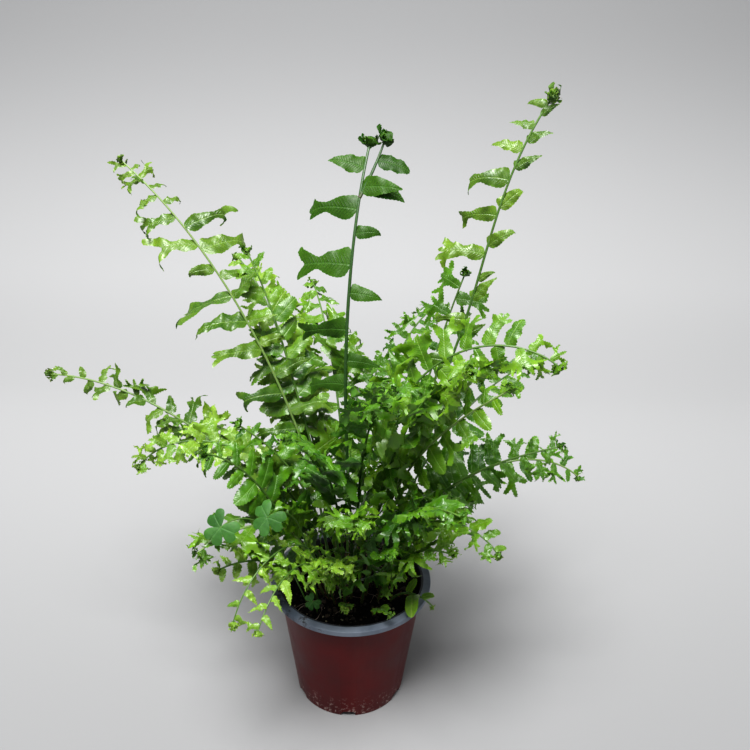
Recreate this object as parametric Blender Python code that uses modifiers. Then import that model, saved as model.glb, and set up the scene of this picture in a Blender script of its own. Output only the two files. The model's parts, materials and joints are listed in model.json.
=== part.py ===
"""A potted fishtail fern.

A nine centimetre nursery pot with an out-turned lip, filled with potting mix. Fronds stand in plain
holes in the mix. Each frond is one thin arched blade: a rib with leaflets cut to it, many of them forked
at the tip like a fish's tail. A few leaves of wood sorrel, a weed, grow beside them.
"""

import math
import random
from typing import NamedTuple

import bmesh
import bpy
from mathutils import Vector
from mathutils.bvhtree import BVHTree

OBJECT_NAME = "potted_fishtail_fern"
MM = 0.001
GAP = 0.0003

# Pot, in metres
POT_HEIGHT = 0.073
POT_WALL = 0.001
FLOOR_THICKNESS = 0.0014
MOUTH_RADIUS = 0.0397
BASE_RADIUS = 0.0312
LIP_RADIUS = 0.045
LIP_THICKNESS = 0.0012
LIP_DROP = 0.0030
LIP_EDGE_THICKNESS = 0.0010
LIP_ROUND = 0.0006
POT_SIDES = 30
DRAIN_SLOTS = 6
DRAIN_SLOT_SIZE = (0.006, 0.008, 0.0062)

# Potting mix
SOIL_EDGE_LEVEL = POT_HEIGHT - 0.0055
SOIL_MOUND = 0.0022
SOIL_CLOD_HEIGHT = 0.0005
CLODS_ACROSS = (310.0, 270.0)
CLODS_ASLANT = (410.0, 520.0)
CLOD_PHASE = 1.3
SOIL_RINGS = 3
SOIL_SIDES = 26

# Stems
FOOT_DEPTH = 0.007
STEM_RISE = 0.0008
HOLE_RADIUS = 0.0017
HOLE_SIDES = 5
RIB_STEPS = 48
RIB_WIDTH = 0.0014
RIB_THICKNESS = 0.0013
RIB_NARROWING = 0.45
RIB_THINNING = 0.35
BARE_STEPS = 3

# Leaflets, with lengths and widths as shares of the frond's longest or of the leaflet's own length
BLADE_THICKNESS = 0.00068
LEAFLET_FOOT = 0.0021
TIP_MARGIN = 0.02
CROWDING_TO_TIP = 0.92
LONGEST_AT = 0.35
LENGTH_AT_FOOT = 0.62
LENGTH_LOST_AT_TIP = 0.68
LENGTH_TAPER = 1.4
LENGTH_VARIES = (0.9, 1.12)
FORKED_WIDTH = 0.42
PLAIN_WIDTH = 0.34
LEAST_WIDTH = 0.0028
RUFFLE = (0.0004, 0.0009)
TIP_LEAF_LENGTH = 0.4
TIP_LEAF_WIDTH = 0.8

# How leaflets stand on the rib, in degrees
FORWARD_AT_FOOT = 18.0
FORWARD_GAINED = 22.0
FORWARD_VARIES = 8.0
RISE = (-4.0, 22.0)
DROOP = (20.0, 60.0)
ROLL = (18.0, 34.0)

# What a leaflet tries, in order, to come clear of the others
BENDS = (0.0, 14.0, -14.0, 28.0, -28.0, 42.0, -42.0)
FORWARD_PER_BEND = 0.3
SIZES = (1.0, 0.72)
SLAB = 0.0008
POT_CLEARANCE = 0.0014
ASLANT = (0.31, 0.77, 0.55)

# Sorrel
STALK_SHARES = (0.0, 0.4, 0.7, 0.88, 1.0)
STALK_BEND = 5.0
HUB_LENGTH = 0.0016
HUB_THICKNESS = 0.6
HEARTS_APART = 108.0
HEART_SAG = 0.25

# Colours and gloss
POT_COLOUR = (0.19, 0.035, 0.025)
POT_ROUGHNESS = 0.42
SOIL_COLOUR = (0.02, 0.014, 0.01)
SOIL_ROUGHNESS = 0.95
BRIGHT = (0.30, 0.50, 0.08)
FRESH = (0.20, 0.42, 0.07)
MIDDLE = (0.13, 0.33, 0.06)
DEEP = (0.07, 0.22, 0.05)
SORREL_COLOUR = (0.10, 0.30, 0.10)
LEAF_ROUGHNESS = 0.45

# Outlines as (share of the length, half widths, ruffles), with the triangles between them. In the
# triangles, 0 and 1 are the lower and upper ends of the leaflet's foot, and 2 is the first of these points.
FORKED_OUTLINE = (
    (0.38, -0.95, 1),
    (0.34, 1.0, -1),
    (0.94, -1.15, -1),
    (0.70, 0.0, 1),
    (1.0, 1.0, 1),
)
FORKED_TRIANGLES = ((0, 1, 3), (0, 3, 2), (2, 3, 5), (2, 5, 4), (5, 3, 6))
PLAIN_OUTLINE = (
    (0.22, -1.0, 1),
    (0.20, 1.0, -1),
    (0.52, -0.80, -1),
    (0.48, 0.90, 1),
    (0.80, -0.62, 1),
    (0.76, 0.64, -1),
    (1.0, 0.10, 0),
)
PLAIN_TRIANGLES = ((0, 1, 3), (0, 3, 2), (2, 3, 5), (2, 5, 4), (4, 5, 7), (4, 7, 6), (6, 7, 8))

# A heart's outline beyond its foot, as shares of its length along and across it
HEART = (
    (0.50, -0.34),
    (0.86, -0.52),
    (1.06, -0.26),
    (0.90, 0.0),
    (1.06, 0.26),
    (0.86, 0.52),
    (0.50, 0.34),
)
HEART_NOTCH = 3


class Frond(NamedTuple):
    """Angles in degrees, lengths in mm. Azimuth 0 is +X and 90 is +Y; lean is measured from upright."""

    name: str
    azimuth: float
    root: float
    lean: float
    tip_lean: float
    bend: float
    wave: float
    length: float
    twist: float
    leaflets: int
    leaflet_length: float
    bare: float
    forked: bool
    colour: tuple


FRONDS = [
    # Tall and sparse, seen against the wall
    Frond("frond_tall_left", 160, 14, 2, 55, 1.1, 2, 259, -58, 18, 27, 0.36, False, FRESH),
    Frond("frond_tall_centre", 74, 3, -6, 43, 3.2, -3, 247, 4, 10, 23, 0.50, False, DEEP),
    Frond("frond_tall_right", 19, 5, 7, 36, 1.25, 13, 276, 58, 16, 20, 0.42, False, MIDDLE),
    Frond("frond_beside_tall", 38, 11, 16, 27, 1.4, 3, 180, 40, 10, 14, 0.40, True, MIDDLE),
    # Left side, from high to low
    Frond("frond_left_reach", 171, 13, 20, 94, 1.15, 4, 202, -58, 22, 13, 0.24, True, MIDDLE),
    Frond("frond_left_arch", 188, 15, 10, 148, 2.2, 2, 157, -50, 20, 15, 0.24, True, BRIGHT),
    Frond("frond_left_broad", 214, 16, 13, 65, 1.8, 9, 127, -60, 16, 20, 0.22, True, MIDDLE),
    Frond("frond_left_low", 220, 19, 22, 114, 2.1, -9, 112, -44, 14, 16, 0.22, True, FRESH),
    Frond("frond_left_inner", 200, 10, 7, 51, 1.5, 0, 122, -54, 12, 17, 0.26, True, MIDDLE),
    Frond("frond_spill_outer", 236, 20, 20, 160, 1.9, -10, 116, -28, 14, 13, 0.20, True, BRIGHT),
    Frond("frond_spill_inner", 247, 21, 22, 149, 2.0, -1, 110, -18, 14, 13, 0.20, True, BRIGHT),
    # Right side, from high to low
    Frond("frond_right_arch", 339, 15, 1, 127, 2.9, -2, 210, 60, 20, 21, 0.38, True, BRIGHT),
    Frond("frond_right_reach", 324, 11, 8, 51, 1.15, -2, 168, 52, 16, 19, 0.26, True, FRESH),
    Frond("frond_right_middle", 350, 14, 25, 70, 1.5, -6, 141, 60, 14, 16, 0.26, True, MIDDLE),
    Frond("frond_right_droop", 2, 17, 20, 138, 2.0, 3, 148, 56, 14, 16, 0.28, True, MIDDLE),
    Frond("frond_right_low", 330, 18, 12, 143, 2.0, -2, 108, 44, 14, 15, 0.22, True, FRESH),
    Frond("frond_front_right", 308, 14, 10, 86, 1.6, 0, 122, 30, 14, 16, 0.22, True, MIDDLE),
    # Middle, leaning towards the front
    Frond("frond_star", 315, 7, 4, 62, 1.9, 6, 172, 38, 14, 22, 0.32, True, FRESH),
    Frond("frond_front_tall", 284, 8, 3, 62, 1.7, 0, 178, 8, 14, 20, 0.30, True, MIDDLE),
    Frond("frond_front_left", 250, 9, 6, 64, 1.7, 0, 150, -20, 12, 18, 0.26, True, MIDDLE),
    Frond("frond_front_low", 272, 14, 8, 88, 1.9, 0, 112, 0, 14, 16, 0.22, True, FRESH),
    Frond("frond_front_short", 290, 19, 14, 66, 1.5, 0, 74, 10, 10, 14, 0.18, True, MIDDLE),
    Frond("frond_left_short", 262, 19, 18, 72, 1.5, 0, 78, -10, 10, 14, 0.18, True, FRESH),
    Frond("frond_right_short", 314, 22, 16, 78, 1.5, 0, 80, 28, 10, 14, 0.20, True, FRESH),
    Frond("frond_left_skirt", 217, 24, 24, 96, 1.5, 0, 76, -28, 10, 13, 0.20, True, BRIGHT),
    # Back, half hidden from the front
    Frond("frond_back_left_tall", 148, 6, 8, 34, 1.4, 5, 192, -34, 12, 18, 0.34, True, FRESH),
    Frond("frond_back_left_arch", 130, 12, 12, 74, 2.2, 8, 196, -24, 14, 18, 0.30, True, BRIGHT),
    Frond("frond_back_upright", 106, 8, 3, 80, 1.5, 0, 188, 0, 12, 18, 0.30, True, FRESH),
    Frond("frond_back_arch", 62, 10, 6, 112, 2.0, -4, 200, 20, 12, 18, 0.30, True, FRESH),
    Frond("frond_back_right", 36, 17, 22, 92, 1.5, 0, 170, 30, 12, 17, 0.28, True, MIDDLE),
    Frond("frond_back_low", 84, 15, 22, 104, 1.4, 0, 150, 0, 10, 17, 0.24, True, MIDDLE),
    Frond("frond_back_left_low", 150, 17, 28, 108, 1.4, 0, 146, -30, 10, 17, 0.24, True, FRESH),
    Frond("frond_back_far", 116, 17, 24, 98, 1.5, 0, 158, -10, 10, 17, 0.26, True, MIDDLE),
    # Young ones near the mix
    Frond("frond_young_rim", 326, 27, 30, 124, 1.2, 0, 31, 20, 4, 10, 0.50, False, FRESH),
    Frond("frond_young_left", 268, 26, 20, 80, 1.2, 0, 28, 0, 4, 5, 0.35, True, BRIGHT),
    Frond("frond_young_right", 296, 29, 30, 80, 1.2, 0, 24, 0, 4, 5, 0.40, True, FRESH),
]


class Sorrel(NamedTuple):
    """A wood sorrel leaf: a thin stalk with three heart-shaped leaflets. Angles in degrees, lengths in mm."""

    name: str
    azimuth: float
    root: float
    lean: float
    tip_lean: float
    length: float
    leaflet_length: float


SORRELS = [
    Sorrel("sorrel_left", 225, 31, 20, 116, 100, 9.5),
    Sorrel("sorrel_left_high", 232, 27, 11, 105, 90, 9.5),
    Sorrel("sorrel_small", 236, 31, 10, 92, 11, 5),
]


def new_collection(name):
    collection = bpy.data.collections.new(name)
    bpy.context.scene.collection.children.link(collection)
    return collection


def give_material(obj, colour, roughness):
    material = bpy.data.materials.new(obj.name + "_material")
    material.use_nodes = True
    shader = material.node_tree.nodes["Principled BSDF"]
    shader.inputs["Base Color"].default_value = (*colour, 1.0)
    shader.inputs["Roughness"].default_value = roughness
    shader.inputs["Metallic"].default_value = 0.0
    obj.data.materials.append(material)


def new_object(name, mesh, collection):
    obj = bpy.data.objects.new(name, mesh)
    collection.objects.link(obj)
    return obj


def apply_modifiers(obj):
    """Keeps the shape that the modifiers make, so that its points can be moved or cut afterwards."""
    evaluated = obj.evaluated_get(bpy.context.evaluated_depsgraph_get())
    mesh = bpy.data.meshes.new_from_object(evaluated)
    obj.modifiers.clear()
    obj.data = mesh


def turned(name, profile, sides, collection):
    """A turned solid from a profile of (radius, height) that runs up the inside and down the outside."""
    mesh = bpy.data.meshes.new(name)
    edges = [(i, i + 1) for i in range(len(profile) - 1)]
    mesh.from_pydata([(radius, 0.0, height) for radius, height in profile], edges, [])
    obj = new_object(name, mesh, collection)
    screw = obj.modifiers.new("Turn", "SCREW")
    screw.axis = "Z"
    screw.steps = sides
    screw.render_steps = sides
    screw.use_merge_vertices = True
    screw.merge_threshold = 0.00001
    return obj


def cut_by(obj, cutters):
    cut = obj.modifiers.new("Cut", "BOOLEAN")
    cut.operation = "DIFFERENCE"
    cut.operand_type = "COLLECTION"
    cut.collection = cutters


def hide_cutter(obj):
    obj.hide_render = True
    obj.display_type = "WIRE"


def inner_wall_radius(height):
    share = (height - FLOOR_THICKNESS) / (POT_HEIGHT - FLOOR_THICKNESS)
    return BASE_RADIUS - POT_WALL + (MOUTH_RADIUS - BASE_RADIUS + POT_WALL) * share


def soil_level(radius):
    """Height of the smooth mound at a distance from the pot's axis."""
    share = min(radius / MOUTH_RADIUS, 1.0)
    return SOIL_EDGE_LEVEL + SOIL_MOUND * (1.0 - share * share)


def make_pot(collection):
    lip_under = POT_HEIGHT - LIP_THICKNESS
    lip_end = POT_HEIGHT - LIP_DROP
    profile = [
        (0.0, FLOOR_THICKNESS),
        (BASE_RADIUS - POT_WALL, FLOOR_THICKNESS),
        (MOUTH_RADIUS, POT_HEIGHT - LIP_ROUND),
        (MOUTH_RADIUS + LIP_ROUND, POT_HEIGHT),
        (LIP_RADIUS - LIP_ROUND, POT_HEIGHT),
        (LIP_RADIUS, POT_HEIGHT - LIP_ROUND),
        (LIP_RADIUS, lip_end),
        (LIP_RADIUS - LIP_EDGE_THICKNESS, lip_end),
        (LIP_RADIUS - LIP_EDGE_THICKNESS, lip_under),
        (MOUTH_RADIUS + POT_WALL, lip_under - LIP_ROUND),
        (BASE_RADIUS, LIP_ROUND),
        (BASE_RADIUS - LIP_ROUND, 0.0),
        (0.0, 0.0),
    ]
    pot = turned("pot", profile, POT_SIDES, collection)
    slots = new_collection("drain_cutters")
    for i in range(DRAIN_SLOTS):
        angle = 2.0 * math.pi * (i + 0.5) / DRAIN_SLOTS
        bpy.ops.mesh.primitive_cube_add(size=1.0)
        slot = bpy.context.object
        slot.name = f"drain_cutter_{i}"
        for user in slot.users_collection:
            user.objects.unlink(slot)
        slots.objects.link(slot)
        slot.dimensions = DRAIN_SLOT_SIZE
        slot.location = (BASE_RADIUS * math.cos(angle), BASE_RADIUS * math.sin(angle), 0.0)
        slot.rotation_euler = (0.0, 0.0, angle)
        hide_cutter(slot)
    cut_by(pot, slots)
    give_material(pot, POT_COLOUR, POT_ROUGHNESS)


def clod(x, y):
    """Uneven surface of the mix, from minus one to one."""
    across = math.sin(CLODS_ACROSS[0] * x + CLOD_PHASE) * math.cos(CLODS_ACROSS[1] * y)
    aslant = math.sin(CLODS_ASLANT[1] * y - CLODS_ASLANT[0] * x)
    return (across + aslant) / 2


def make_soil(collection, stems):
    edge_radius = inner_wall_radius(SOIL_EDGE_LEVEL) - GAP
    rings = [edge_radius * i / SOIL_RINGS for i in range(SOIL_RINGS + 1)]
    profile = [(radius, soil_level(radius)) for radius in rings]
    floor = FLOOR_THICKNESS + GAP
    profile += [(inner_wall_radius(floor) - GAP, floor), (0.0, floor)]
    soil = turned("soil", profile, SOIL_SIDES, collection)
    apply_modifiers(soil)
    for vertex in soil.data.vertices:
        radius = vertex.co.xy.length
        if vertex.co.z > POT_HEIGHT / 2 and radius < edge_radius - GAP:
            vertex.co.z += SOIL_CLOD_HEIGHT * clod(vertex.co.x, vertex.co.y)
    holes = new_collection("stem_hole_cutters")
    for stem in stems:
        root = root_point(stem)
        mesh = bpy.data.meshes.new(stem.name + "_hole")
        bm = bmesh.new()
        depth = FOOT_DEPTH + GAP
        bmesh.ops.create_cone(
            bm,
            cap_ends=True,
            segments=HOLE_SIDES,
            radius1=HOLE_RADIUS,
            radius2=HOLE_RADIUS,
            depth=2.0 * depth,
        )
        bm.to_mesh(mesh)
        bm.free()
        hole = new_object(stem.name + "_hole", mesh, holes)
        hole.location = (root.x, root.y, soil_level(root.xy.length))
        hide_cutter(hole)
    cut_by(soil, holes)
    give_material(soil, SOIL_COLOUR, SOIL_ROUGHNESS)


def root_point(stem):
    """Where a stem leaves the mix."""
    azimuth = math.radians(stem.azimuth)
    radius = stem.root * MM
    height = soil_level(radius) + STEM_RISE
    return Vector((radius * math.cos(azimuth), radius * math.sin(azimuth), height))


class RibFrame(NamedTuple):
    point: Vector
    along: Vector
    side: Vector
    normal: Vector


def rib_frames(stem, bend, wave, twist):
    """Evenly spaced frames along an arching rib that lies in the upright plane of its azimuth."""
    azimuth = math.radians(stem.azimuth)
    outward = Vector((math.cos(azimuth), math.sin(azimuth), 0.0))
    sideways = Vector((-math.sin(azimuth), math.cos(azimuth), 0.0))
    up = Vector((0.0, 0.0, 1.0))
    turn = math.radians(twist)
    point = root_point(stem)
    step = stem.length * MM / RIB_STEPS
    frames = []
    for i in range(RIB_STEPS + 1):
        share = i / RIB_STEPS
        swing = wave * math.sin(2.0 * math.pi * share)
        lean = math.radians(stem.lean + (stem.tip_lean - stem.lean) * share**bend + swing)
        along = outward * math.sin(lean) + up * math.cos(lean)
        upper = up * math.sin(lean) - outward * math.cos(lean)
        side = sideways * math.cos(turn) + upper * math.sin(turn)
        normal = upper * math.cos(turn) - sideways * math.sin(turn)
        frames.append(RibFrame(point.copy(), along, side, normal))
        point += along * step
    return frames


def frame_at(frames, share):
    """The frame at a share of the rib's length."""
    place = min(max(share, 0.0), 1.0) * RIB_STEPS
    low = min(int(place), RIB_STEPS - 1)
    rest = place - low
    a, b = frames[low], frames[low + 1]
    return RibFrame(
        a.point.lerp(b.point, rest),
        a.along.lerp(b.along, rest).normalized(),
        a.side.lerp(b.side, rest).normalized(),
        a.normal.lerp(b.normal, rest).normalized(),
    )


class Leaflet(NamedTuple):
    share: float
    side: int
    length: float
    width: float
    forward: float
    rise: float
    droop: float
    roll: float
    ruffle: float
    forked: bool


def leaflet_plan(frond):
    """The leaflets of one frond: forked ones in pairs, plain ones alternating left and right."""
    rng = random.Random(frond.name)
    plan = []
    together = 2 if frond.forked else 1
    for i in range(frond.leaflets):
        way = (i // together + 0.5) * together / frond.leaflets
        share = frond.bare + (1.0 - frond.bare - TIP_MARGIN) * way**CROWDING_TO_TIP
        swell = LENGTH_AT_FOOT + (1.0 - LENGTH_AT_FOOT) * math.sin(math.pi / 2 * min(way / LONGEST_AT, 1.0))
        past_longest = max(0.0, (way - LONGEST_AT) / (1.0 - LONGEST_AT))
        taper = 1.0 - LENGTH_LOST_AT_TIP * past_longest**LENGTH_TAPER
        length = frond.leaflet_length * MM * swell * taper * rng.uniform(*LENGTH_VARIES)
        width = length * (FORKED_WIDTH if frond.forked else PLAIN_WIDTH)
        plan.append(
            Leaflet(
                share=share,
                side=1 if i % 2 else -1,
                length=length,
                width=max(width, LEAST_WIDTH),
                forward=FORWARD_AT_FOOT + FORWARD_GAINED * way + rng.uniform(-FORWARD_VARIES, FORWARD_VARIES),
                rise=rng.uniform(*RISE),
                droop=rng.uniform(*DROOP),
                roll=rng.uniform(*ROLL),
                ruffle=rng.uniform(*RUFFLE),
                forked=frond.forked,
            )
        )
    return plan


def leaflet_surface(frame, leaflet):
    """Gives a function for a point of the leaflet: u from 0 to 1 along it, v across and w off it."""
    side = frame.side * leaflet.side
    forward = math.radians(leaflet.forward)
    roll = math.radians(leaflet.roll)
    out = side * math.cos(forward) + frame.along * math.sin(forward)
    across = frame.along * math.cos(forward) - side * math.sin(forward)
    start = math.radians(leaflet.rise)
    turn = math.radians(leaflet.droop)
    origin = frame.point + side * (RIB_WIDTH / 2 * math.cos(forward))

    def point(u, v, w=0.0):
        angle = start - turn * u
        reach = (math.sin(start) - math.sin(angle)) / turn
        climb = (math.cos(angle) - math.cos(start)) / turn
        normal = frame.normal * math.cos(angle) - out * math.sin(angle)
        width_way = across * math.cos(roll) + normal * math.sin(roll)
        thick_way = normal * math.cos(roll) - across * math.sin(roll)
        centre = origin + (out * reach + frame.normal * climb) * leaflet.length
        return centre + width_way * v + thick_way * w

    return point


def leaflet_outline(leaflet):
    """Points (u, v, w) of the outline beyond the foot, and the triangles between them."""
    outline = FORKED_OUTLINE if leaflet.forked else PLAIN_OUTLINE
    triangles = FORKED_TRIANGLES if leaflet.forked else PLAIN_TRIANGLES
    half = leaflet.width / 2
    return [(u, across * half, waves * leaflet.ruffle) for u, across, waves in outline], triangles


def slab_tree(points, triangles, half_thickness):
    """A closed search tree of some triangles, thickened both ways, for finding out what they would cross."""
    shift = Vector()
    for a, b, c in triangles:
        shift += (points[b] - points[a]).cross(points[c] - points[a])
    shift = shift.normalized() * half_thickness
    count = len(points)
    corners = [point + shift for point in points] + [point - shift for point in points]
    faces = [tuple(triangle) for triangle in triangles]
    faces += [tuple(count + i for i in reversed(triangle)) for triangle in triangles]
    edges = {}
    for a, b, c in triangles:
        for start, end in ((a, b), (b, c), (c, a)):
            key = (min(start, end), max(start, end))
            edges[key] = edges.get(key, 0) + 1
    for (a, b), uses in edges.items():
        if uses == 1:
            faces += [(a, b, b + count), (a, b + count, a + count)]
    return BVHTree.FromPolygons(corners, faces, all_triangles=True)


def tube_tree(points, half_width):
    """A search tree of a square tube round a rib."""
    corners = []
    faces = []
    for i, point in enumerate(points):
        along = (points[min(i + 1, len(points) - 1)] - points[max(i - 1, 0)]).normalized()
        side = along.cross(Vector(ASLANT)).normalized() * half_width
        other = along.cross(side).normalized() * half_width
        corners += [point + side + other, point - side + other, point - side - other, point + side - other]
        if i:
            for j in range(4):
                a, b = 4 * i - 4 + j, 4 * i - 4 + (j + 1) % 4
                faces += [(a, b, b + 4), (a, b + 4, a + 4)]
    return BVHTree.FromPolygons(corners, faces, all_triangles=True)


def clear_of_pot(point):
    """Whether a point keeps off the lip, the wall, the mix and the floor."""
    radius = point.xy.length
    if point.z < POT_CLEARANCE:
        return False
    if radius > LIP_RADIUS + POT_CLEARANCE or point.z > POT_HEIGHT + POT_CLEARANCE:
        return True
    return radius < MOUTH_RADIUS - 2 * POT_CLEARANCE and point.z > soil_level(radius) + POT_CLEARANCE


def tried_leaflets(leaflet):
    """The leaflet as planned, then bent, turned and shortened ways of it for where it would cross another."""
    for size in SIZES:
        for bend in BENDS:
            yield leaflet._replace(
                rise=leaflet.rise + bend,
                forward=leaflet.forward + FORWARD_PER_BEND * bend,
                length=leaflet.length * size,
                width=leaflet.width * size,
            )


class Growth:
    """What already stands in the pot, so that what grows next is bent clear of it."""

    def __init__(self):
        self.ribs = {}
        self.leaves = {}

    def add_rib(self, name, frames, shares):
        self.ribs[name] = tube_tree([frame_at(frames, share).point for share in shares], SLAB + RIB_WIDTH / 2)

    def is_clear(self, owner, tree, beyond_foot):
        for name, rib in self.ribs.items():
            if name != owner and tree.overlap(rib):
                return False
        for name, leaves in self.leaves.items():
            for whole, whole_beyond_foot in leaves:
                if name == owner and beyond_foot.overlap(whole_beyond_foot):
                    return False
                if name != owner and tree.overlap(whole):
                    return False
        return True

    def place(self, owner, frames, leaflet):
        """The first way of this leaflet that is clear, as its points and triangles, or None."""
        frame = frame_at(frames, leaflet.share)
        for attempt in tried_leaflets(leaflet):
            surface = leaflet_surface(frame, attempt)
            outline, triangles = leaflet_outline(attempt)
            foot = [surface(0.0, -LEAFLET_FOOT / 2), surface(0.0, LEAFLET_FOOT / 2)]
            points = foot + [surface(*corner) for corner in outline]
            middles = [(points[a] + points[b] + points[c]) / 3 for a, b, c in triangles]
            if not all(clear_of_pot(point) for point in points + middles):
                continue
            tree = slab_tree(points, triangles, SLAB)
            beyond_foot = slab_tree(points, triangles[2:], SLAB)
            if self.is_clear(owner, tree, beyond_foot):
                self.leaves[owner].append((tree, beyond_foot))
                return points[2:], triangles
        return None


class Blade:
    """Points, triangles and point weights of one open blade, which Solidify makes thick."""

    def __init__(self):
        self.points = []
        self.triangles = []
        self.weights = []

    def add_point(self, point, weight):
        self.points.append(point)
        self.weights.append(weight)
        return len(self.points) - 1

    def add_leaf(self, points, triangles, foot, flip):
        """Joins a leaf to two points of the rib."""
        weight = BLADE_THICKNESS / RIB_THICKNESS
        index = list(foot) + [self.add_point(point, weight) for point in points]
        for triangle in triangles:
            a, b, c = (index[i] for i in triangle)
            self.triangles.append((a, c, b) if flip else (a, b, c))

    def build(self, name, collection, colour):
        mesh = bpy.data.meshes.new(name)
        mesh.from_pydata(self.points, [], self.triangles)
        obj = new_object(name, mesh, collection)
        group = obj.vertex_groups.new(name="thickness")
        for i, weight in enumerate(self.weights):
            group.add([i], weight, "REPLACE")
        solid = obj.modifiers.new("Thickness", "SOLIDIFY")
        solid.thickness = RIB_THICKNESS
        solid.offset = 0.0
        solid.vertex_group = group.name
        give_material(obj, colour, LEAF_ROUGHNESS)
        return obj


def rib_strip(blade, frames, shares):
    """The flat rib, from its foot in the mix to its tip. Returns the left and right rail's point numbers."""
    root = frames[0]
    down = Vector((0.0, 0.0, -(FOOT_DEPTH + STEM_RISE)))
    half = RIB_WIDTH / 2
    left = [blade.add_point(root.point + down + root.side * half, 1.0)]
    right = [blade.add_point(root.point + down - root.side * half, 1.0)]
    for share in shares:
        frame = frame_at(frames, share)
        narrow = half * (1.0 - RIB_NARROWING * share)
        weight = 1.0 - RIB_THINNING * share
        left.append(blade.add_point(frame.point + frame.side * narrow, weight))
        right.append(blade.add_point(frame.point - frame.side * narrow, weight))
    for i in range(len(left) - 1):
        blade.triangles.append((left[i], right[i], right[i + 1]))
        blade.triangles.append((left[i], right[i + 1], left[i + 1]))
    return left, right


def tip_leaflet(frond):
    """The small leaf that ends a rib, in line with it and curled over."""
    length = frond.leaflet_length * MM * TIP_LEAF_LENGTH
    return Leaflet(
        share=1.0,
        side=1,
        length=length,
        width=length * TIP_LEAF_WIDTH,
        forward=90.0,
        rise=10.0,
        droop=110.0,
        roll=0.0,
        ruffle=RUFFLE[0],
        forked=True,
    )


def rib_shares(frond, plan):
    """Shares of the rib's length with a point on each rail, and where in them each leaflet's foot starts."""
    foot = LEAFLET_FOOT / 2 / (frond.length * MM)
    stations = sorted({leaflet.share for leaflet in plan})
    shares = [(stations[0] - foot) * i / BARE_STEPS for i in range(BARE_STEPS)]
    starts = {}
    for station in stations:
        starts[station] = len(shares) + 1
        shares += [station - foot, station + foot]
    shares.append(1.0)
    return shares, starts


def make_frond(frond, frames, plan, growth, collection):
    growth.leaves[frond.name] = []
    shares, starts = rib_shares(frond, plan)
    blade = Blade()
    left, right = rib_strip(blade, frames, shares)
    for leaflet in plan:
        found = growth.place(frond.name, frames, leaflet)
        if found:
            rail = left if leaflet.side > 0 else right
            low = starts[leaflet.share]
            blade.add_leaf(*found, (rail[low], rail[low + 1]), flip=leaflet.side < 0)
    found = growth.place(frond.name, frames, tip_leaflet(frond))
    if found:
        blade.add_leaf(*found, (left[-1], right[-1]), flip=False)
    blade.build(frond.name, collection, frond.colour)


def make_sorrel(sorrel, frames, growth, collection):
    """A stalk that ends in a small hub with three heart-shaped leaflets."""
    blade = Blade()
    left, right = rib_strip(blade, frames, STALK_SHARES)
    tip = frames[-1]
    size = sorrel.leaflet_length * MM
    hub_end = tip.point + tip.along * HUB_LENGTH
    hub_half = tip.side * HUB_LENGTH / 2
    ahead = [blade.add_point(hub_end + hub_half * way, HUB_THICKNESS) for way in (1, -1)]
    blade.triangles += [(left[-1], right[-1], ahead[1]), (left[-1], ahead[1], ahead[0])]
    feet = [
        (0.0, ahead[0], ahead[1]),
        (HEARTS_APART, left[-1], ahead[0]),
        (-HEARTS_APART, ahead[1], right[-1]),
    ]
    leaf_start = len(blade.triangles)
    for degrees, foot_left, foot_right in feet:
        angle = math.radians(degrees)
        out = tip.along * math.cos(angle) + tip.side * math.sin(angle)
        across = tip.side * math.cos(angle) - tip.along * math.sin(angle)
        ring = [foot_left, foot_right]
        for u, v in HEART:
            sag = HEART_SAG * size * (u * u - abs(v))
            corner = tip.point + out * (u * size) + across * (v * size) - tip.normal * sag
            ring.append(blade.add_point(corner, BLADE_THICKNESS / RIB_THICKNESS))
        notch = ring[2 + HEART_NOTCH]
        for i, corner in enumerate(ring):
            after = ring[(i + 1) % len(ring)]
            if notch not in (corner, after):
                blade.triangles.append((corner, after, notch))
    tree = slab_tree(blade.points, blade.triangles[leaf_start:], SLAB)
    growth.leaves[sorrel.name] = [(tree, tree)]
    blade.build(sorrel.name, collection, SORREL_COLOUR)


def main():
    for obj in list(bpy.data.objects):
        bpy.data.objects.remove(obj, do_unlink=True)
    collection = new_collection(OBJECT_NAME)
    make_pot(collection)
    make_soil(collection, FRONDS + SORRELS)
    growth = Growth()
    frames = {}
    plans = {}
    for sorrel in SORRELS:
        frames[sorrel.name] = rib_frames(sorrel, bend=STALK_BEND, wave=0.0, twist=0.0)
        growth.add_rib(sorrel.name, frames[sorrel.name], STALK_SHARES)
    for frond in FRONDS:
        frames[frond.name] = rib_frames(frond, frond.bend, frond.wave, frond.twist)
        plans[frond.name] = leaflet_plan(frond)
        growth.add_rib(frond.name, frames[frond.name], rib_shares(frond, plans[frond.name])[0])
    for sorrel in SORRELS:
        make_sorrel(sorrel, frames[sorrel.name], growth, collection)
    for frond in FRONDS:
        make_frond(frond, frames[frond.name], plans[frond.name], growth, collection)


main()
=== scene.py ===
"""The looks of a potted fishtail fern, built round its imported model."""
import json
import math
import random
from itertools import product
from typing import NamedTuple

import bmesh
import bpy
import numpy as np
from mathutils import Matrix, Vector, geometry, noise
from mathutils.bvhtree import BVHTree

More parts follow.
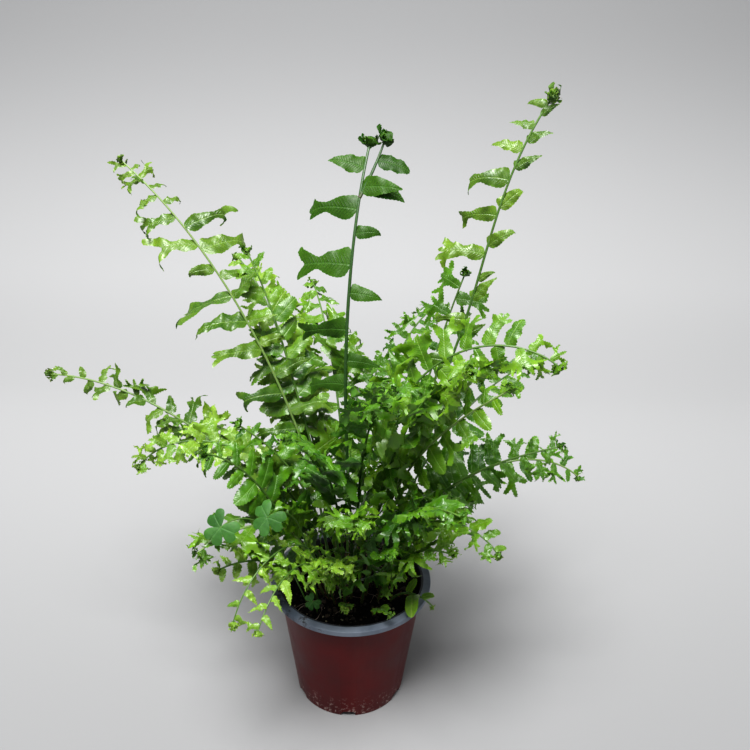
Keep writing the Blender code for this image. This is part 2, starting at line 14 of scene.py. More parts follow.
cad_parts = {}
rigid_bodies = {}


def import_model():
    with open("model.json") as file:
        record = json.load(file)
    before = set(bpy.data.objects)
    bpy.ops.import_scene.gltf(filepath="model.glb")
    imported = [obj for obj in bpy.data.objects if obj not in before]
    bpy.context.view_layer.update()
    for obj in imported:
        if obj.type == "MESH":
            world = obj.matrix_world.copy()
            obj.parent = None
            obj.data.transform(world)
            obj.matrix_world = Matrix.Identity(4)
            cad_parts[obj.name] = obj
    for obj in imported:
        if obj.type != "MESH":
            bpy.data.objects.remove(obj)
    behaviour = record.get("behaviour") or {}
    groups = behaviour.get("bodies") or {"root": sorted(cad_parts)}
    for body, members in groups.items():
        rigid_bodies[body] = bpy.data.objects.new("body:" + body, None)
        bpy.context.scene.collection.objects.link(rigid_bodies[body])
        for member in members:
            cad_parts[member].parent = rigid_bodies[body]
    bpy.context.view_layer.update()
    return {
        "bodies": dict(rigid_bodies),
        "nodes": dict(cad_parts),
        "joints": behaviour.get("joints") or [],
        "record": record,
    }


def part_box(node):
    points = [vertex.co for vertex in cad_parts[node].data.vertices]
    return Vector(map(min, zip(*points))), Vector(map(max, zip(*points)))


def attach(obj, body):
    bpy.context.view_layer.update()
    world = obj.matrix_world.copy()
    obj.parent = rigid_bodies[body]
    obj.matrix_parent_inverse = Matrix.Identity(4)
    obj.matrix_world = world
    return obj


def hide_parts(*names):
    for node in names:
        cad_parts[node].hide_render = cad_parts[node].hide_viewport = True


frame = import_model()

BODY = "root"
MM = 0.001
TURN = 2.0 * math.pi
UP = Vector((0.0, 0.0, 1.0))

# Camera, at the photograph's place
EYE = (0.0111, -0.3575, 0.3575)
PITCH = 24.0
ROLL = 1.2
FOCAL_PIXELS = 780.0
PICTURE_PIXELS = 750.0
SENSOR_WIDTH = 36.0
NEAREST_SEEN = 0.01

# Pot, in metres
POT_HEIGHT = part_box("pot")[1].z
LIP_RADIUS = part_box("pot")[1].x
POT_WALL = 0.001
FLOOR_THICKNESS = 0.0014
MOUTH_RADIUS = 0.0397
BASE_RADIUS = 0.0312
LIP_THICKNESS = 0.0012
LIP_DROP = 0.0030
LIP_EDGE_THICKNESS = 0.0010
LIP_ROUND = 0.0005
LIP_UNDER = POT_HEIGHT - LIP_THICKNESS
LIP_END = POT_HEIGHT - LIP_DROP
POT_SIDES = 180
POT_SHARP = 35.0
DRAIN_SLOTS = 6
DRAIN_SLOT_SIZE = (0.006, 0.008, 0.0062)
DRAIN_SLOT_ROUND = 0.0009

# Potting mix, in metres
SOIL_EDGE_LEVEL = POT_HEIGHT - 0.0055
SOIL_MOUND = 0.0022
SOIL_GAP = 0.0004
SOIL_RINGS = 64
SOIL_SIDES = 200
SOIL_LUMPS = ((90.0, 0.0011), (260.0, 0.0008), (700.0, 0.00045))

# Lumps in the mix: piece, how many, least and most size, material and seed
LUMPS = (
    ("clods", 420, (0.0005, 0.0019), "clod", "clods"),
    ("perlite_bits", 70, (0.0003, 0.0010), "perlite", "perlite"),
)
LUMP_MARGIN = 0.0015
LUMP_SQUASH = 0.8
LUMP_LIFT = 0.2
LUMP_DENTS = (900.0, 0.45)

# The dents' noise would start from the clock without a seed
DENT_SEED = 1

# Roots that run over the mix
ROOTS = 16
ROOT_STARTS = (0.006, 0.032)
ROOT_STEPS = 14
ROOT_STEP = 0.0011
ROOT_SWERVE = 0.35
ROOT_LIFT = 0.0009
ROOT_RADIUS = 0.00018
ROOT_MARGIN = 0.001
LEAST_ROOT_STEPS = 4

# Stems
FOOT_DEPTH = 0.005
STEM_RISE = 0.0008
RIB_STEPS = 48
RIB_RADIUS = 0.00080
RIB_TIP_RADIUS = 0.00042
RIB_SIDES = 8
RIB_UNEVENNESS = (0.95, 1.06)
GROOVE = 0.62
TWIG_THICKNESS = 0.8
THICK_STEMS = {
    "frond_tall_centre": 1.45, "frond_tall_right": 1.15, "frond_spill_outer": 0.7, "frond_spill_inner": 0.7,
}
# The tall centre frond's stem takes the deep stem green, which is painted shade
RIB_COLOURS = {
    "frond_tall_centre": "deep_rib", "frond_tall_left": "pale_rib", "frond_left_reach": "pale_rib",
    "frond_left_low": "pale_rib", "frond_right_reach": "pale_rib", "frond_right_droop": "pale_rib",
}
OLIVE_FRONDS = ("frond_tall_left", "frond_tall_right", "frond_left_reach")

# Brown scales on the lowest stretch of a stem
SCALES = 26
SCALE_REACH = 0.016
SCALE_SIZES = (0.0012, 0.0028)
SCALE_LEANS = (0.3, 0.9)
SCALE_WIDTH = 0.16


class Frond(NamedTuple):
    """Angles in degrees, lengths in mm. Azimuth 0 is +X and 90 is +Y; lean is measured from upright."""

    name: str
    azimuth: float
    root: float
    lean: float
    tip_lean: float
    bend: float
    wave: float
    length: float
    twist: float
    leaflets: int
    leaflet_length: float
    bare: float
    style: str
    colour: str


# Each frond's last field picks its blade green: the bright one is partly painted light and the deep one is
# painted shade
FRONDS = [
    # Tall and sparse, seen against the wall
    Frond("frond_tall_left", 160, 14, 2, 55, 1.1, 2, 259, -58, 24, 26, 0.34, "sickle", "middle"),
    # Its deep green is painted shade
    Frond("frond_tall_centre", 74, 3, -6, 43, 3.2, -3, 247, 4, 14, 23, 0.48, "broad", "deep"),
    Frond("frond_tall_right", 19, 5, 7, 36, 1.25, 13, 276, 58, 19, 21, 0.40, "crescent", "middle"),
    Frond("frond_beside_tall", 38, 11, 16, 27, 1.4, 3, 180, 40, 16, 16, 0.38, "comb", "middle"),
    # Left side, from high to low
    Frond("frond_left_reach", 171, 13, 20, 94, 1.15, 4, 202, -58, 28, 18, 0.24, "small", "middle"),
    Frond("frond_left_arch", 188, 15, 10, 148, 2.2, 2, 157, -50, 36, 18, 0.22, "ruffled", "bright"),
    Frond("frond_left_broad", 214, 16, 13, 65, 1.8, 9, 127, -60, 18, 19, 0.22, "comb_oval", "middle"),
    Frond("frond_left_low", 220, 19, 22, 114, 2.1, -9, 112, -44, 18, 19, 0.20, "antler", "fresh"),
    Frond("frond_left_inner", 200, 10, 7, 51, 1.5, 0, 122, -54, 16, 20, 0.24, "sickle", "middle"),
    Frond("frond_spill_outer", 236, 20, 20, 160, 1.9, -10, 116, -28, 14, 16, 0.20, "strap", "bright"),
    Frond("frond_spill_inner", 247, 21, 22, 149, 2.0, -1, 110, -18, 17, 15, 0.20, "strap", "bright"),
    # Right side, from high to low
    Frond("frond_right_arch", 339, 15, 1, 127, 2.9, -2, 210, 60, 24, 24, 0.36, "comb", "fresh"),
    Frond("frond_right_reach", 324, 11, 8, 51, 1.15, -2, 168, 52, 20, 20, 0.24, "comb_oval", "fresh"),
    Frond("frond_right_middle", 350, 14, 25, 70, 1.5, -6, 141, 60, 18, 18, 0.26, "strap", "middle"),
    Frond("frond_right_droop", 2, 17, 20, 138, 2.0, 3, 148, 56, 22, 17, 0.28, "comb", "middle"),
    Frond("frond_right_low", 330, 18, 12, 143, 2.0, -2, 108, 44, 20, 18, 0.20, "antler", "fresh"),
    Frond("frond_front_right", 308, 14, 10, 86, 1.6, 0, 122, 30, 22, 19, 0.20, "antler", "middle"),
    # Middle, leaning towards the front
    Frond("frond_star", 315, 7, 4, 62, 1.9, 6, 172, 38, 22, 25, 0.30, "antler", "fresh"),
    Frond("frond_front_tall", 284, 8, 3, 62, 1.7, 0, 178, 8, 26, 21, 0.26, "antler", "middle"),
    Frond("frond_front_left", 250, 9, 6, 64, 1.7, 0, 150, -20, 26, 18, 0.22, "oval", "middle"),
    Frond("frond_front_low", 272, 14, 8, 88, 1.9, 0, 112, 0, 22, 19, 0.20, "antler", "fresh"),
    Frond("frond_front_short", 290, 19, 14, 66, 1.5, 0, 74, 10, 16, 16, 0.16, "antler", "middle"),
    Frond("frond_left_short", 262, 19, 18, 72, 1.5, 0, 78, -10, 20, 18, 0.16, "wavy", "bright"),
    Frond("frond_right_short", 314, 22, 16, 78, 1.5, 0, 80, 28, 14, 16, 0.18, "antler", "fresh"),
    Frond("frond_left_skirt", 217, 24, 24, 96, 1.5, 0, 76, -28, 14, 17, 0.18, "wavy", "bright"),
    # Back, half hidden from the front
    Frond("frond_back_left_tall", 148, 6, 8, 34, 1.4, 5, 192, -34, 24, 21, 0.32, "oval", "fresh"),
    Frond("frond_back_left_arch", 130, 12, 12, 74, 2.2, 8, 196, -24, 24, 21, 0.28, "antler", "bright"),
    Frond("frond_back_upright", 106, 8, 3, 80, 1.5, 0, 188, 0, 24, 22, 0.28, "antler", "fresh"),
    Frond("frond_back_arch", 62, 10, 6, 112, 2.0, -4, 200, 20, 26, 14, 0.28, "antler", "middle"),
    Frond("frond_back_right", 36, 17, 22, 92, 1.5, 0, 170, 30, 22, 20, 0.26, "oval", "middle"),
    Frond("frond_back_low", 84, 15, 22, 104, 1.4, 0, 150, 0, 22, 20, 0.22, "oval", "middle"),
    Frond("frond_back_left_low", 150, 17, 28, 108, 1.4, 0, 146, -30, 22, 20, 0.22, "sickle", "fresh"),
    Frond("frond_back_far", 116, 17, 24, 98, 1.5, 0, 158, -10, 22, 20, 0.24, "sickle", "middle"),
    # Young ones near the mix
    Frond("frond_young_rim", 326, 27, 30, 124, 1.2, 0, 31, 20, 5, 10, 0.46, "young", "bright"),
    Frond("frond_young_left", 268, 26, 20, 80, 1.2, 0, 28, 0, 8, 5, 0.32, "young", "bright"),
    Frond("frond_young_right", 296, 29, 30, 80, 1.2, 0, 24, 0, 8, 5, 0.36, "young", "fresh"),
]

# Leaflets placed one by one: share of the rib, side (1 is left in the photograph), length in mm and form
CHOSEN_LEAFLETS = {
    "frond_tall_centre": (
        (0.47, -1, 18, "fish"), (0.52, 1, 20, "fish"), (0.57, -1, 17, "taper"), (0.633, 1, 24, "fish"),
        (0.705, -1, 17, "hook"), (0.758, 1, 28, "fish"), (0.817, -1, 14, "hook"), (0.862, 1, 26, "fish"),
        (0.905, -1, 21, "taper"), (0.945, 1, 18, "taper"),
    ),
    "frond_tall_left": (
        (0.36, 1, 22, "fish"), (0.40, -1, 20, "fork"), (0.44, 1, 26, "fish"), (0.48, -1, 22, "taper"),
        (0.539, 1, 26, "fish"), (0.552, -1, 17, "hook"), (0.597, -1, 16, "taper"), (0.602, 1, 31, "taper"),
        (0.656, -1, 22, "taper"), (0.660, 1, 29, "fork"), (0.704, -1, 19, "taper"), (0.722, 1, 17, "hook"),
        (0.768, -1, 30, "fish"), (0.777, 1, 26, "fork"), (0.822, -1, 26, "fish"), (0.846, 1, 20, "fork"),
        (0.881, -1, 13, "hook"), (0.900, 1, 14, "fork"), (0.922, -1, 11, "taper"), (0.945, 1, 11, "fork"),
        (0.935, 1, 9, "hook"), (0.950, -1, 10, "fork"), (0.962, 1, 9, "fork"), (0.972, -1, 8, "hook"),
        (0.984, 1, 8, "fork"),
    ),
    "frond_tall_right": (
        (0.42, 1, 20, "fish"), (0.46, -1, 18, "fish"), (0.50, 1, 20, "fish"), (0.545, -1, 17, "taper"),
        (0.585, 1, 18, "fish"), (0.625, -1, 17, "taper"), (0.661, -1, 11, "hook"), (0.711, 1, 24, "fork"),
        (0.727, -1, 18, "hook"), (0.783, 1, 20, "fish"), (0.796, -1, 17, "hook"), (0.847, 1, 22, "fish"),
        (0.868, -1, 14, "taper"), (0.902, 1, 17, "taper"), (0.917, -1, 13, "taper"), (0.945, 1, 12, "taper"),
        (0.965, -1, 10, "taper"), (0.985, 1, 11, "taper"),
    ),
    "frond_beside_tall": (
        (0.42, 1, 15, "antler"), (0.46, -1, 15, "fork"), (0.51, 1, 14, "antler"), (0.56, -1, 15, "fork"),
        (0.63, 1, 13, "antler"), (0.70, -1, 14, "antler"), (0.76, 1, 13, "fork"), (0.82, -1, 17, "antler"),
        (0.87, 1, 15, "antler"), (0.92, -1, 17, "fork"), (0.955, 1, 16, "antler"),
    ),
    "frond_young_rim": ((0.46, 1, 9, "round"), (0.58, -1, 17, "round"), (0.76, 1, 7, "round")),
}

# A frond whose leaflets on the right stand further forward, by so many degrees, and aren't levelled
FORWARD_FROND = "frond_tall_right"
RIGHT_FORWARD = 42.0


class Style(NamedTuple):
    """How a frond's leaflets look. Ranges are (least, most); angles in degrees, lengths in mm."""

    forms: dict
    width: float
    teeth: float
    forward: tuple
    rise: tuple
    droop: tuple
    curl: tuple
    twist: tuple
    arch: tuple
    ruffle: tuple
    sickle: tuple
    sag: float
    level: float
    light: float


STYLES = {
    "sickle": Style(
        forms={"fish": 3, "taper": 4, "fork": 2, "hook": 3}, width=0.34, teeth=0.18,
        forward=(-6, 18), rise=(-12, 26), droop=(4, 40), curl=(0, 90), twist=(-40, 46), arch=(-0.5, 1.6),
        ruffle=(0.5, 1.3), sickle=(-0.06, 0.10), sag=0.22, level=0.75, light=0.85,
    ),
    "crescent": Style(
        forms={"taper": 1}, width=0.39, teeth=0.20,
        forward=(-4, 16), rise=(-4, 24), droop=(6, 40), curl=(0, 50), twist=(-20, 30), arch=(0.4, 1.8),
        ruffle=(0.6, 1.2), sickle=(-0.04, 0.10), sag=0.24, level=0.75, light=0.42,
    ),
    "broad": Style(
        forms={"round": 3, "taper": 5, "fork": 1}, width=0.46, teeth=0.16,
        forward=(-6, 16), rise=(-10, 24), droop=(0, 26), curl=(0, 36), twist=(-16, 20), arch=(0.2, 1.0),
        ruffle=(0.3, 0.8), sickle=(-0.02, 0.08), sag=0.20, level=0.7, light=0.35,
    ),
    "oval": Style(
        forms={"round": 7, "fork": 2, "antler": 1}, width=0.46, teeth=0.34,
        forward=(8, 30), rise=(-12, 20), droop=(0, 34), curl=(0, 34), twist=(-22, 26), arch=(-0.4, 1.4),
        ruffle=(0.5, 1.1), sickle=(0.0, 0.14), sag=0.05, level=0.05, light=0.75,
    ),
    "antler": Style(
        forms={"antler": 6, "fork": 2, "round": 2, "frill": 1}, width=0.48, teeth=0.28,
        forward=(4, 36), rise=(-14, 24), droop=(-6, 34), curl=(0, 50), twist=(-26, 28), arch=(-0.6, 1.8),
        ruffle=(0.6, 1.3), sickle=(-0.04, 0.14), sag=0.12, level=0.1, light=0.70,
    ),
    "ruffled": Style(
        forms={"frill": 6, "fork": 3, "antler": 2}, width=0.46, teeth=0.34,
        forward=(4, 40), rise=(-20, 30), droop=(0, 46), curl=(0, 60), twist=(-40, 44), arch=(-0.8, 1.6),
        ruffle=(0.6, 1.4), sickle=(-0.08, 0.16), sag=0.15, level=0.1, light=0.65,
    ),
    "wavy": Style(
        forms={"round": 5, "fork": 3, "taper": 2}, width=0.44, teeth=0.34,
        forward=(0, 28), rise=(-10, 22), droop=(0, 36), curl=(0, 50), twist=(-30, 34), arch=(-0.6, 1.4),
        ruffle=(0.9, 1.6), sickle=(-0.06, 0.14), sag=0.15, level=0.2, light=0.55,
    ),
    "small": Style(
        forms={"fork": 5, "antler": 3, "hook": 3}, width=0.42, teeth=0.22,
        forward=(10, 46), rise=(-24, 40), droop=(0, 50), curl=(0, 90), twist=(-60, 60), arch=(-0.6, 1.2),
        ruffle=(0.7, 1.5), sickle=(-0.1, 0.2), sag=0.1, level=0.1, light=0.60,
    ),
    "comb": Style(
        forms={"antler": 4, "fork": 3, "round": 2}, width=0.44, teeth=0.30,
        forward=(2, 16), rise=(-10, 10), droop=(0, 26), curl=(0, 36), twist=(-16, 16), arch=(-0.3, 1.2),
        ruffle=(0.5, 1.0), sickle=(0.0, 0.10), sag=0.12, level=0.0, light=0.22,
    ),
    "comb_oval": Style(
        forms={"round": 6, "fork": 2}, width=0.46, teeth=0.36,
        forward=(4, 20), rise=(-8, 10), droop=(0, 24), curl=(0, 24), twist=(-14, 14), arch=(-0.3, 1.2),
        ruffle=(0.4, 0.9), sickle=(0.0, 0.10), sag=0.10, level=0.0, light=0.22,
    ),
    "strap": Style(
        forms={"taper": 4, "fork": 3, "round": 1}, width=0.36, teeth=0.30,
        forward=(0, 26), rise=(-14, 14), droop=(-6, 38), curl=(0, 60), twist=(-40, 40), arch=(-0.4, 1.2),
        ruffle=(0.8, 1.5), sickle=(0.0, 0.18), sag=0.18, level=0.05, light=0.45,
    ),
    "young": Style(
        forms={"round": 3, "fork": 2}, width=0.52, teeth=0.22,
        forward=(10, 40), rise=(0, 36), droop=(0, 50), curl=(0, 60), twist=(-20, 20), arch=(-0.2, 0.8),
        ruffle=(0.1, 0.4), sickle=(0.0, 0.1), sag=0.2, level=0.1, light=0.6,
    ),
}


class Sorrel(NamedTuple):
    """A wood sorrel leaf: a thin stalk with three heart-shaped leaflets. Angles in degrees, lengths in mm."""

    name: str
    azimuth: float
    root: float
    lean: float
    tip_lean: float
    length: float
    leaflet_length: float


SORRELS = [
    Sorrel("sorrel_left", 225, 31, 20, 116, 100, 9.5),
    Sorrel("sorrel_left_high", 232, 27, 11, 105, 90, 9.5),
    Sorrel("sorrel_small", 236, 31, 10, 92, 11, 5),
]
STALK_BEND = 5.0
STALK_RADIUS = 0.0005
STALK_TAPER = 0.3
HEARTS_APART = 108.0
HEART_SIZE = 0.84
HEART_WIDTH = 1.12
SORREL_WAY = Vector((-0.15, -0.75, 0.62)).normalized()


# Where things grow


def polar(radius, angle):
    """The place at a distance and a direction, in radians, from the middle."""
    return radius * math.cos(angle), radius * math.sin(angle)


def soil_level(radius):
    """Height of the smooth mound at a distance from the pot's axis."""
    share = min(radius / MOUTH_RADIUS, 1.0)
    return SOIL_EDGE_LEVEL + SOIL_MOUND * (1.0 - share * share)


def root_point(stem):
    """Where a stem leaves the mix."""
    radius = stem.root * MM
    return Vector((*polar(radius, math.radians(stem.azimuth)), soil_level(radius) + STEM_RISE))


class RibFrame(NamedTuple):
    """A place on a rib, with the ways along it, across the frond's blade and off that blade."""

    point: Vector
    along: Vector
    side: Vector
    normal: Vector


def rib_frames(stem, bend, wave, twist):
    """Evenly spaced frames along an arching rib that lies in the upright plane of its azimuth."""
    azimuth = math.radians(stem.azimuth)
    outward = Vector((math.cos(azimuth), math.sin(azimuth), 0.0))
    sideways = Vector((-math.sin(azimuth), math.cos(azimuth), 0.0))
    turn = math.radians(twist)
    point = root_point(stem)
    step = stem.length * MM / RIB_STEPS
    frames = []
    for i in range(RIB_STEPS + 1):
        share = i / RIB_STEPS
        swing = wave * math.sin(TURN * share)
        lean = math.radians(stem.lean + (stem.tip_lean - stem.lean) * share**bend + swing)
        along = outward * math.sin(lean) + UP * math.cos(lean)
        upper = UP * math.sin(lean) - outward * math.cos(lean)
        side = sideways * math.cos(turn) + upper * math.sin(turn)
        normal = upper * math.cos(turn) - sideways * math.sin(turn)
        frames.append(RibFrame(point.copy(), along, side, normal))
        point += along * step
    return frames


def frame_at(frames, share):
    """The frame at a share of the rib's length."""
    place = min(max(share, 0.0), 1.0) * RIB_STEPS
    low = min(int(place), RIB_STEPS - 1)
    point, *ways = (a.lerp(b, place - low) for a, b in zip(frames[low], frames[low + 1]))
    return RibFrame(point, *(way.normalized() for way in ways))


def rib_radius(share):
    return RIB_RADIUS + (RIB_TIP_RADIUS - RIB_RADIUS) * share


# Leaf outlines, in metres along and across the leaf. A profile's rows are a share of the length and
# how far the lower and the upper edge stand off the midrib, as shares of the half width.

TAPER_PROFILE = (
    (0.00, 0.14, 0.14), (0.03, 0.50, 0.80), (0.09, 0.84, 1.22), (0.26, 0.98, 1.05), (0.48, 0.84, 0.88),
    (0.70, 0.52, 0.58), (0.88, 0.22, 0.26),
)
PROFILES = {
    "round": (
        (0.00, 0.12, 0.12), (0.03, 0.42, 0.55), (0.10, 0.82, 1.02), (0.30, 1.00, 1.02), (0.58, 0.97, 0.95),
        (0.80, 0.76, 0.76), (0.94, 0.42, 0.42),
    ),
    "taper": TAPER_PROFILE,
    "hook": TAPER_PROFILE,
    "heart": (
        (0.00, 0.12, 0.12), (0.20, 0.56, 0.56), (0.50, 1.00, 1.00), (0.80, 1.12, 1.12), (1.00, 0.84, 0.84),
        (1.05, 0.42, 0.42),
    ),
}
HEART_NOTCH = 0.88
HEART_MIDRIB = (0.82, 8)
MIDRIB = (0.93, 9)


class Lobes(NamedTuple):
    """A leaf whose end parts into lobes. Its trunk ends at the fork; widths are shares of its half width."""

    trunk: tuple
    fork: tuple
    count: tuple
    spread: tuple
    half: float
    reach: tuple
    forks: float


FISH_TRUNK = (
    (0.00, 0.14, 0.14), (0.04, 0.50, 0.82), (0.12, 0.86, 1.20), (0.32, 1.00, 1.06), (0.60, 0.76, 0.80),
    (0.84, 0.44, 0.46),
)
FORK_TRUNK = (
    (0.00, 0.14, 0.14), (0.05, 0.48, 0.70), (0.16, 0.84, 1.06), (0.48, 0.92, 0.98), (0.84, 0.70, 0.74),
)
ANTLER_TRUNK = (
    (0.00, 0.18, 0.18), (0.10, 0.42, 0.52), (0.35, 0.66, 0.74), (0.70, 0.72, 0.78), (0.92, 0.78, 0.80),
)
FRILL_TRUNK = (
    (0.00, 0.16, 0.16), (0.08, 0.52, 0.66), (0.30, 0.84, 0.96), (0.70, 0.92, 0.98), (0.92, 0.80, 0.84),
)
LOBES = {
    "fish": Lobes(FISH_TRUNK, (0.70, 0.82), (2, 2, 3), (26, 46), 0.40, (0.9, 1.3), 0.2),
    "fork": Lobes(FORK_TRUNK, (0.50, 0.62), (2, 2, 3), (28, 46), 0.56, (0.85, 1.2), 0.4),
    "antler": Lobes(ANTLER_TRUNK, (0.34, 0.48), (3, 3, 4, 5), (48, 68), 0.42, (0.9, 1.25), 0.55),
    "frill": Lobes(FRILL_TRUNK, (0.54, 0.68), (3, 4, 5), (54, 76), 0.44, (0.7, 1.15), 0.2),
    "crest": Lobes(ANTLER_TRUNK, (0.36, 0.50), (3, 4), (50, 70), 0.42, (0.8, 1.2), 0.5),
}
LOBE_SWERVE = 7.0
LOBE_TIPS = (-0.6, 0.6)
ARM_SPLITS = (26.0, 40.0)
ARM_REACHES = (0.46, 0.64)
ARM_WIDTH = 0.66


def both_edges(profile, length, half):
    """The lower edge of a leaf out from its foot, and the upper edge back to it."""
    low = [(share * length, -lower * half) for share, lower, _ in profile]
    high = [(share * length, upper * half) for share, _, upper in profile]
    return low, high[::-1]


def midrib(length, end, count):
    """Points from a leaf's foot to a share of its length."""
    return [(share * length, 0.0) for share in np.linspace(0.0, end, count)]


def plain_outline(form, length, half):
    """A leaf with one tip, or a heart's notch there. Gives its edge, from foot to foot, and its veins."""
    low, high = both_edges(PROFILES[form], length, half)
    if form == "heart":
        return low + [(HEART_NOTCH * length, 0.0)] + high, [midrib(length, *HEART_MIDRIB)]
    return low + [(length, 0.0)] + high, [midrib(length, *MIDRIB)]


def lobe_outline(base, heading, length, half, forked, rng):
    """A lobe that leaves a fork at a heading, and may fork again. Gives its edge and its veins."""
    along = np.array((math.cos(heading), math.sin(heading)))
    left = np.array((-along[1], along[0]))

    def spot(share, aside):
        """The point at a share of the lobe's length and of its half width."""
        return np.array(base) + along * length * share + left * half * aside

    if not forked:
        tip = spot(1.0, rng.uniform(*LOBE_TIPS))
        edge = [spot(0.55, -0.92), spot(0.90, -0.55), tip, spot(0.90, 0.55), spot(0.55, 0.92)]
        return edge, [[base, spot(0.80, 0.0)]]
    split = math.radians(rng.uniform(*ARM_SPLITS))
    fork = spot(0.50, 0.0)
    edge = [spot(0.34, -0.9)]
    veins = [[base, fork]]
    for way in (-1, 1):
        reach = length * rng.uniform(*ARM_REACHES)
        arm, arm_veins = lobe_outline(fork, heading + way * split, reach, half * ARM_WIDTH, False, rng)
        edge += arm if way < 0 else [fork + along * length * 0.14, *arm]
        veins += arm_veins
    return edge + [spot(0.34, 0.9)], veins


def lobed_outline(lobes, length, half, rng):
    """A leaf whose end parts into lobes, like a fish's tail or an antler."""
    fork = length * rng.uniform(*lobes.fork)
    edge, high = both_edges(lobes.trunk, fork, half)
    veins = [midrib(fork, 1.0, 6)]
    count = rng.choice(lobes.count)
    middle = (count - 1) / 2
    spread = rng.uniform(*lobes.spread)
    headings = []
    for i in range(count):
        heading = spread * (i - middle) / middle + rng.uniform(-LOBE_SWERVE, LOBE_SWERVE)
        headings.append(math.radians(heading))
    lobe_half = half * lobes.half
    for i, heading in enumerate(headings):
        reach = (length - fork) * rng.uniform(*lobes.reach) / max(math.cos(heading), 0.75)
        forked = rng.random() < lobes.forks
        lobe, lobe_veins = lobe_outline((fork, 0.0), heading, reach, lobe_half, forked, rng)
        if i:
            gap = (heading - headings[i - 1]) / 2
            depth = min(lobe_half / max(math.sin(gap), 0.2), 0.5 * reach)
            x, y = polar(depth, heading - gap)
            edge.append((fork + x, y))
        edge += lobe
        veins += lobe_veins
    return edge + high, veins


def leaf_outline(form, length, half, rng):
    if form in PROFILES:
        return plain_outline(form, length, half)
    return lobed_outline(LOBES[form], length, half, rng)


CURVE_STEPS = 10


def step_lengths(points):
    return np.linalg.norm(np.diff(points, axis=0), axis=1)


def running_sum(values):
    return np.concatenate([[0.0], np.cumsum(values)])


def smooth_curve(points):
    """A smooth curve through the points, with bends as tight as the points are close."""
    p = np.array(points, float)
    steps = np.sqrt(np.maximum(step_lengths(p), 1e-6))
    t = running_sum(steps)
    slope = np.empty_like(p)
    slope[1:-1] = (p[2:] - p[:-2]) / (t[2:] - t[:-2])[:, None]
    slope[0] = (p[1] - p[0]) / (t[1] - t[0])
    slope[-1] = (p[-1] - p[-2]) / (t[-1] - t[-2])
    s = np.arange(CURVE_STEPS)[None, :, None] / CURVE_STEPS
    span = steps[:, None, None]
    curve = (2 * s**3 - 3 * s**2 + 1) * p[:-1, None]
    curve = curve + (s**3 - 2 * s**2 + s) * (slope[:-1, None] * span)
    curve = curve + (3 * s**2 - 2 * s**3) * p[1:, None]
    curve = curve + (s**3 - s**2) * (slope[1:, None] * span)
    return np.vstack([curve.reshape(-1, 2), p[-1:]])


def even_points(curve, spacing):
    """Points spread evenly along a line, and how far along it each lies."""
    lengths = running_sum(step_lengths(curve))
    count = max(int(round(lengths[-1] / spacing)), 8)
    at = np.linspace(0.0, lengths[-1], count + 1)
    return np.stack([np.interp(at, lengths, curve[:, i]) for i in (0, 1)], 1), at


TOOTH_POINTS = 3
TOOTH_SHARE = 0.1
LEAST_TOOTH = 0.0011
MOST_TOOTH = 0.0020
NOTCH_START = 0.0022
NOTCH = -1.0
BULGE = 0.35
TOOTH_DEPTHS = (0.5, 1.3)


def toothed_edge(points, depth, length, rng):
    """The leaf's edge with rounded teeth between small notches."""
    tooth = min(max(TOOTH_SHARE * length, LEAST_TOOTH), MOST_TOOTH)
    edge, at = even_points(smooth_curve(points), tooth / TOOTH_POINTS)
    after = np.roll(edge, -1, 0)
    before = np.roll(edge, 1, 0)
    after[-1], before[0] = edge[-1], edge[0]
    along = after - before
    out = np.stack([along[:, 1], -along[:, 0]], 1)
    out /= np.maximum(np.linalg.norm(out, axis=1), 1e-9)[:, None]
    notch = np.where(np.arange(len(edge)) % TOOTH_POINTS == 0, NOTCH, BULGE)
    varied = np.array([rng.uniform(*TOOTH_DEPTHS) for _ in edge])
    from_foot = np.minimum(at, at[-1] - at)
    fade = np.clip(from_foot / NOTCH_START - 0.5, 0.0, 1.0)
    return edge + out * (notch * varied * fade * depth)[:, None]


def inside(points, polygon):
    """Which points lie inside a polygon."""
    x, y = points[:, None, 0], points[:, None, 1]
    ax, ay = polygon[None, :, 0], polygon[None, :, 1]
    bx, by = np.roll(ax, -1, 1), np.roll(ay, -1, 1)
    rise = np.where(by == ay, 1e-12, by - ay)
    crosses = ((ay > y) != (by > y)) & (x < (bx - ax) * (y - ay) / rise + ax)
    return crosses.sum(1) % 2 == 1


def distances(points, others):
    """How far each point is from the nearest of the others."""
    return np.sqrt(((points[:, None] - others[None]) ** 2).sum(2)).min(1)


# Spacing of the points inside a leaf, in metres, and its margins as shares of it
GRID = 0.00135
ROW_HEIGHT = 0.87
VEIN_MARGIN = 0.3
LATTICE_MARGIN = 0.55
VEIN_GAP = 0.5
SAME_PLACE = 1e-6


class Sheet(NamedTuple):
    """A flat leaf split into triangles: which points lie on its outline or veins, and how far in each is."""

    points: np.ndarray
    triangles: np.ndarray
    on_edge: np.ndarray
    depth: np.ndarray
    on_vein: np.ndarray


def inner_points(edge, veins, grid):
    """Points on a leaf's veins, and others in rows between them and its edge."""
    lines = [np.array(vein, float) for vein in veins]
    on_veins = np.vstack([even_points(line, grid)[0] if len(line) == 2 else line for line in lines])
    on_veins = on_veins[inside(on_veins, edge) & (distances(on_veins, edge) > VEIN_MARGIN * grid)]
    low = edge.min(0)
    columns, rows = ((edge.max(0) - low) / grid).astype(int) + 2
    places = product(range(rows), range(columns))
    staggered = [(low[0] + grid * (i + 0.5 * (j % 2)), low[1] + grid * j * ROW_HEIGHT) for j, i in places]
    lattice = np.array(staggered)
    lattice = lattice[inside(lattice, edge) & (distances(lattice, edge) > LATTICE_MARGIN * grid)]
    if len(on_veins) and len(lattice):
        lattice = lattice[distances(lattice, on_veins) > VEIN_GAP * grid]
    return on_veins, lattice


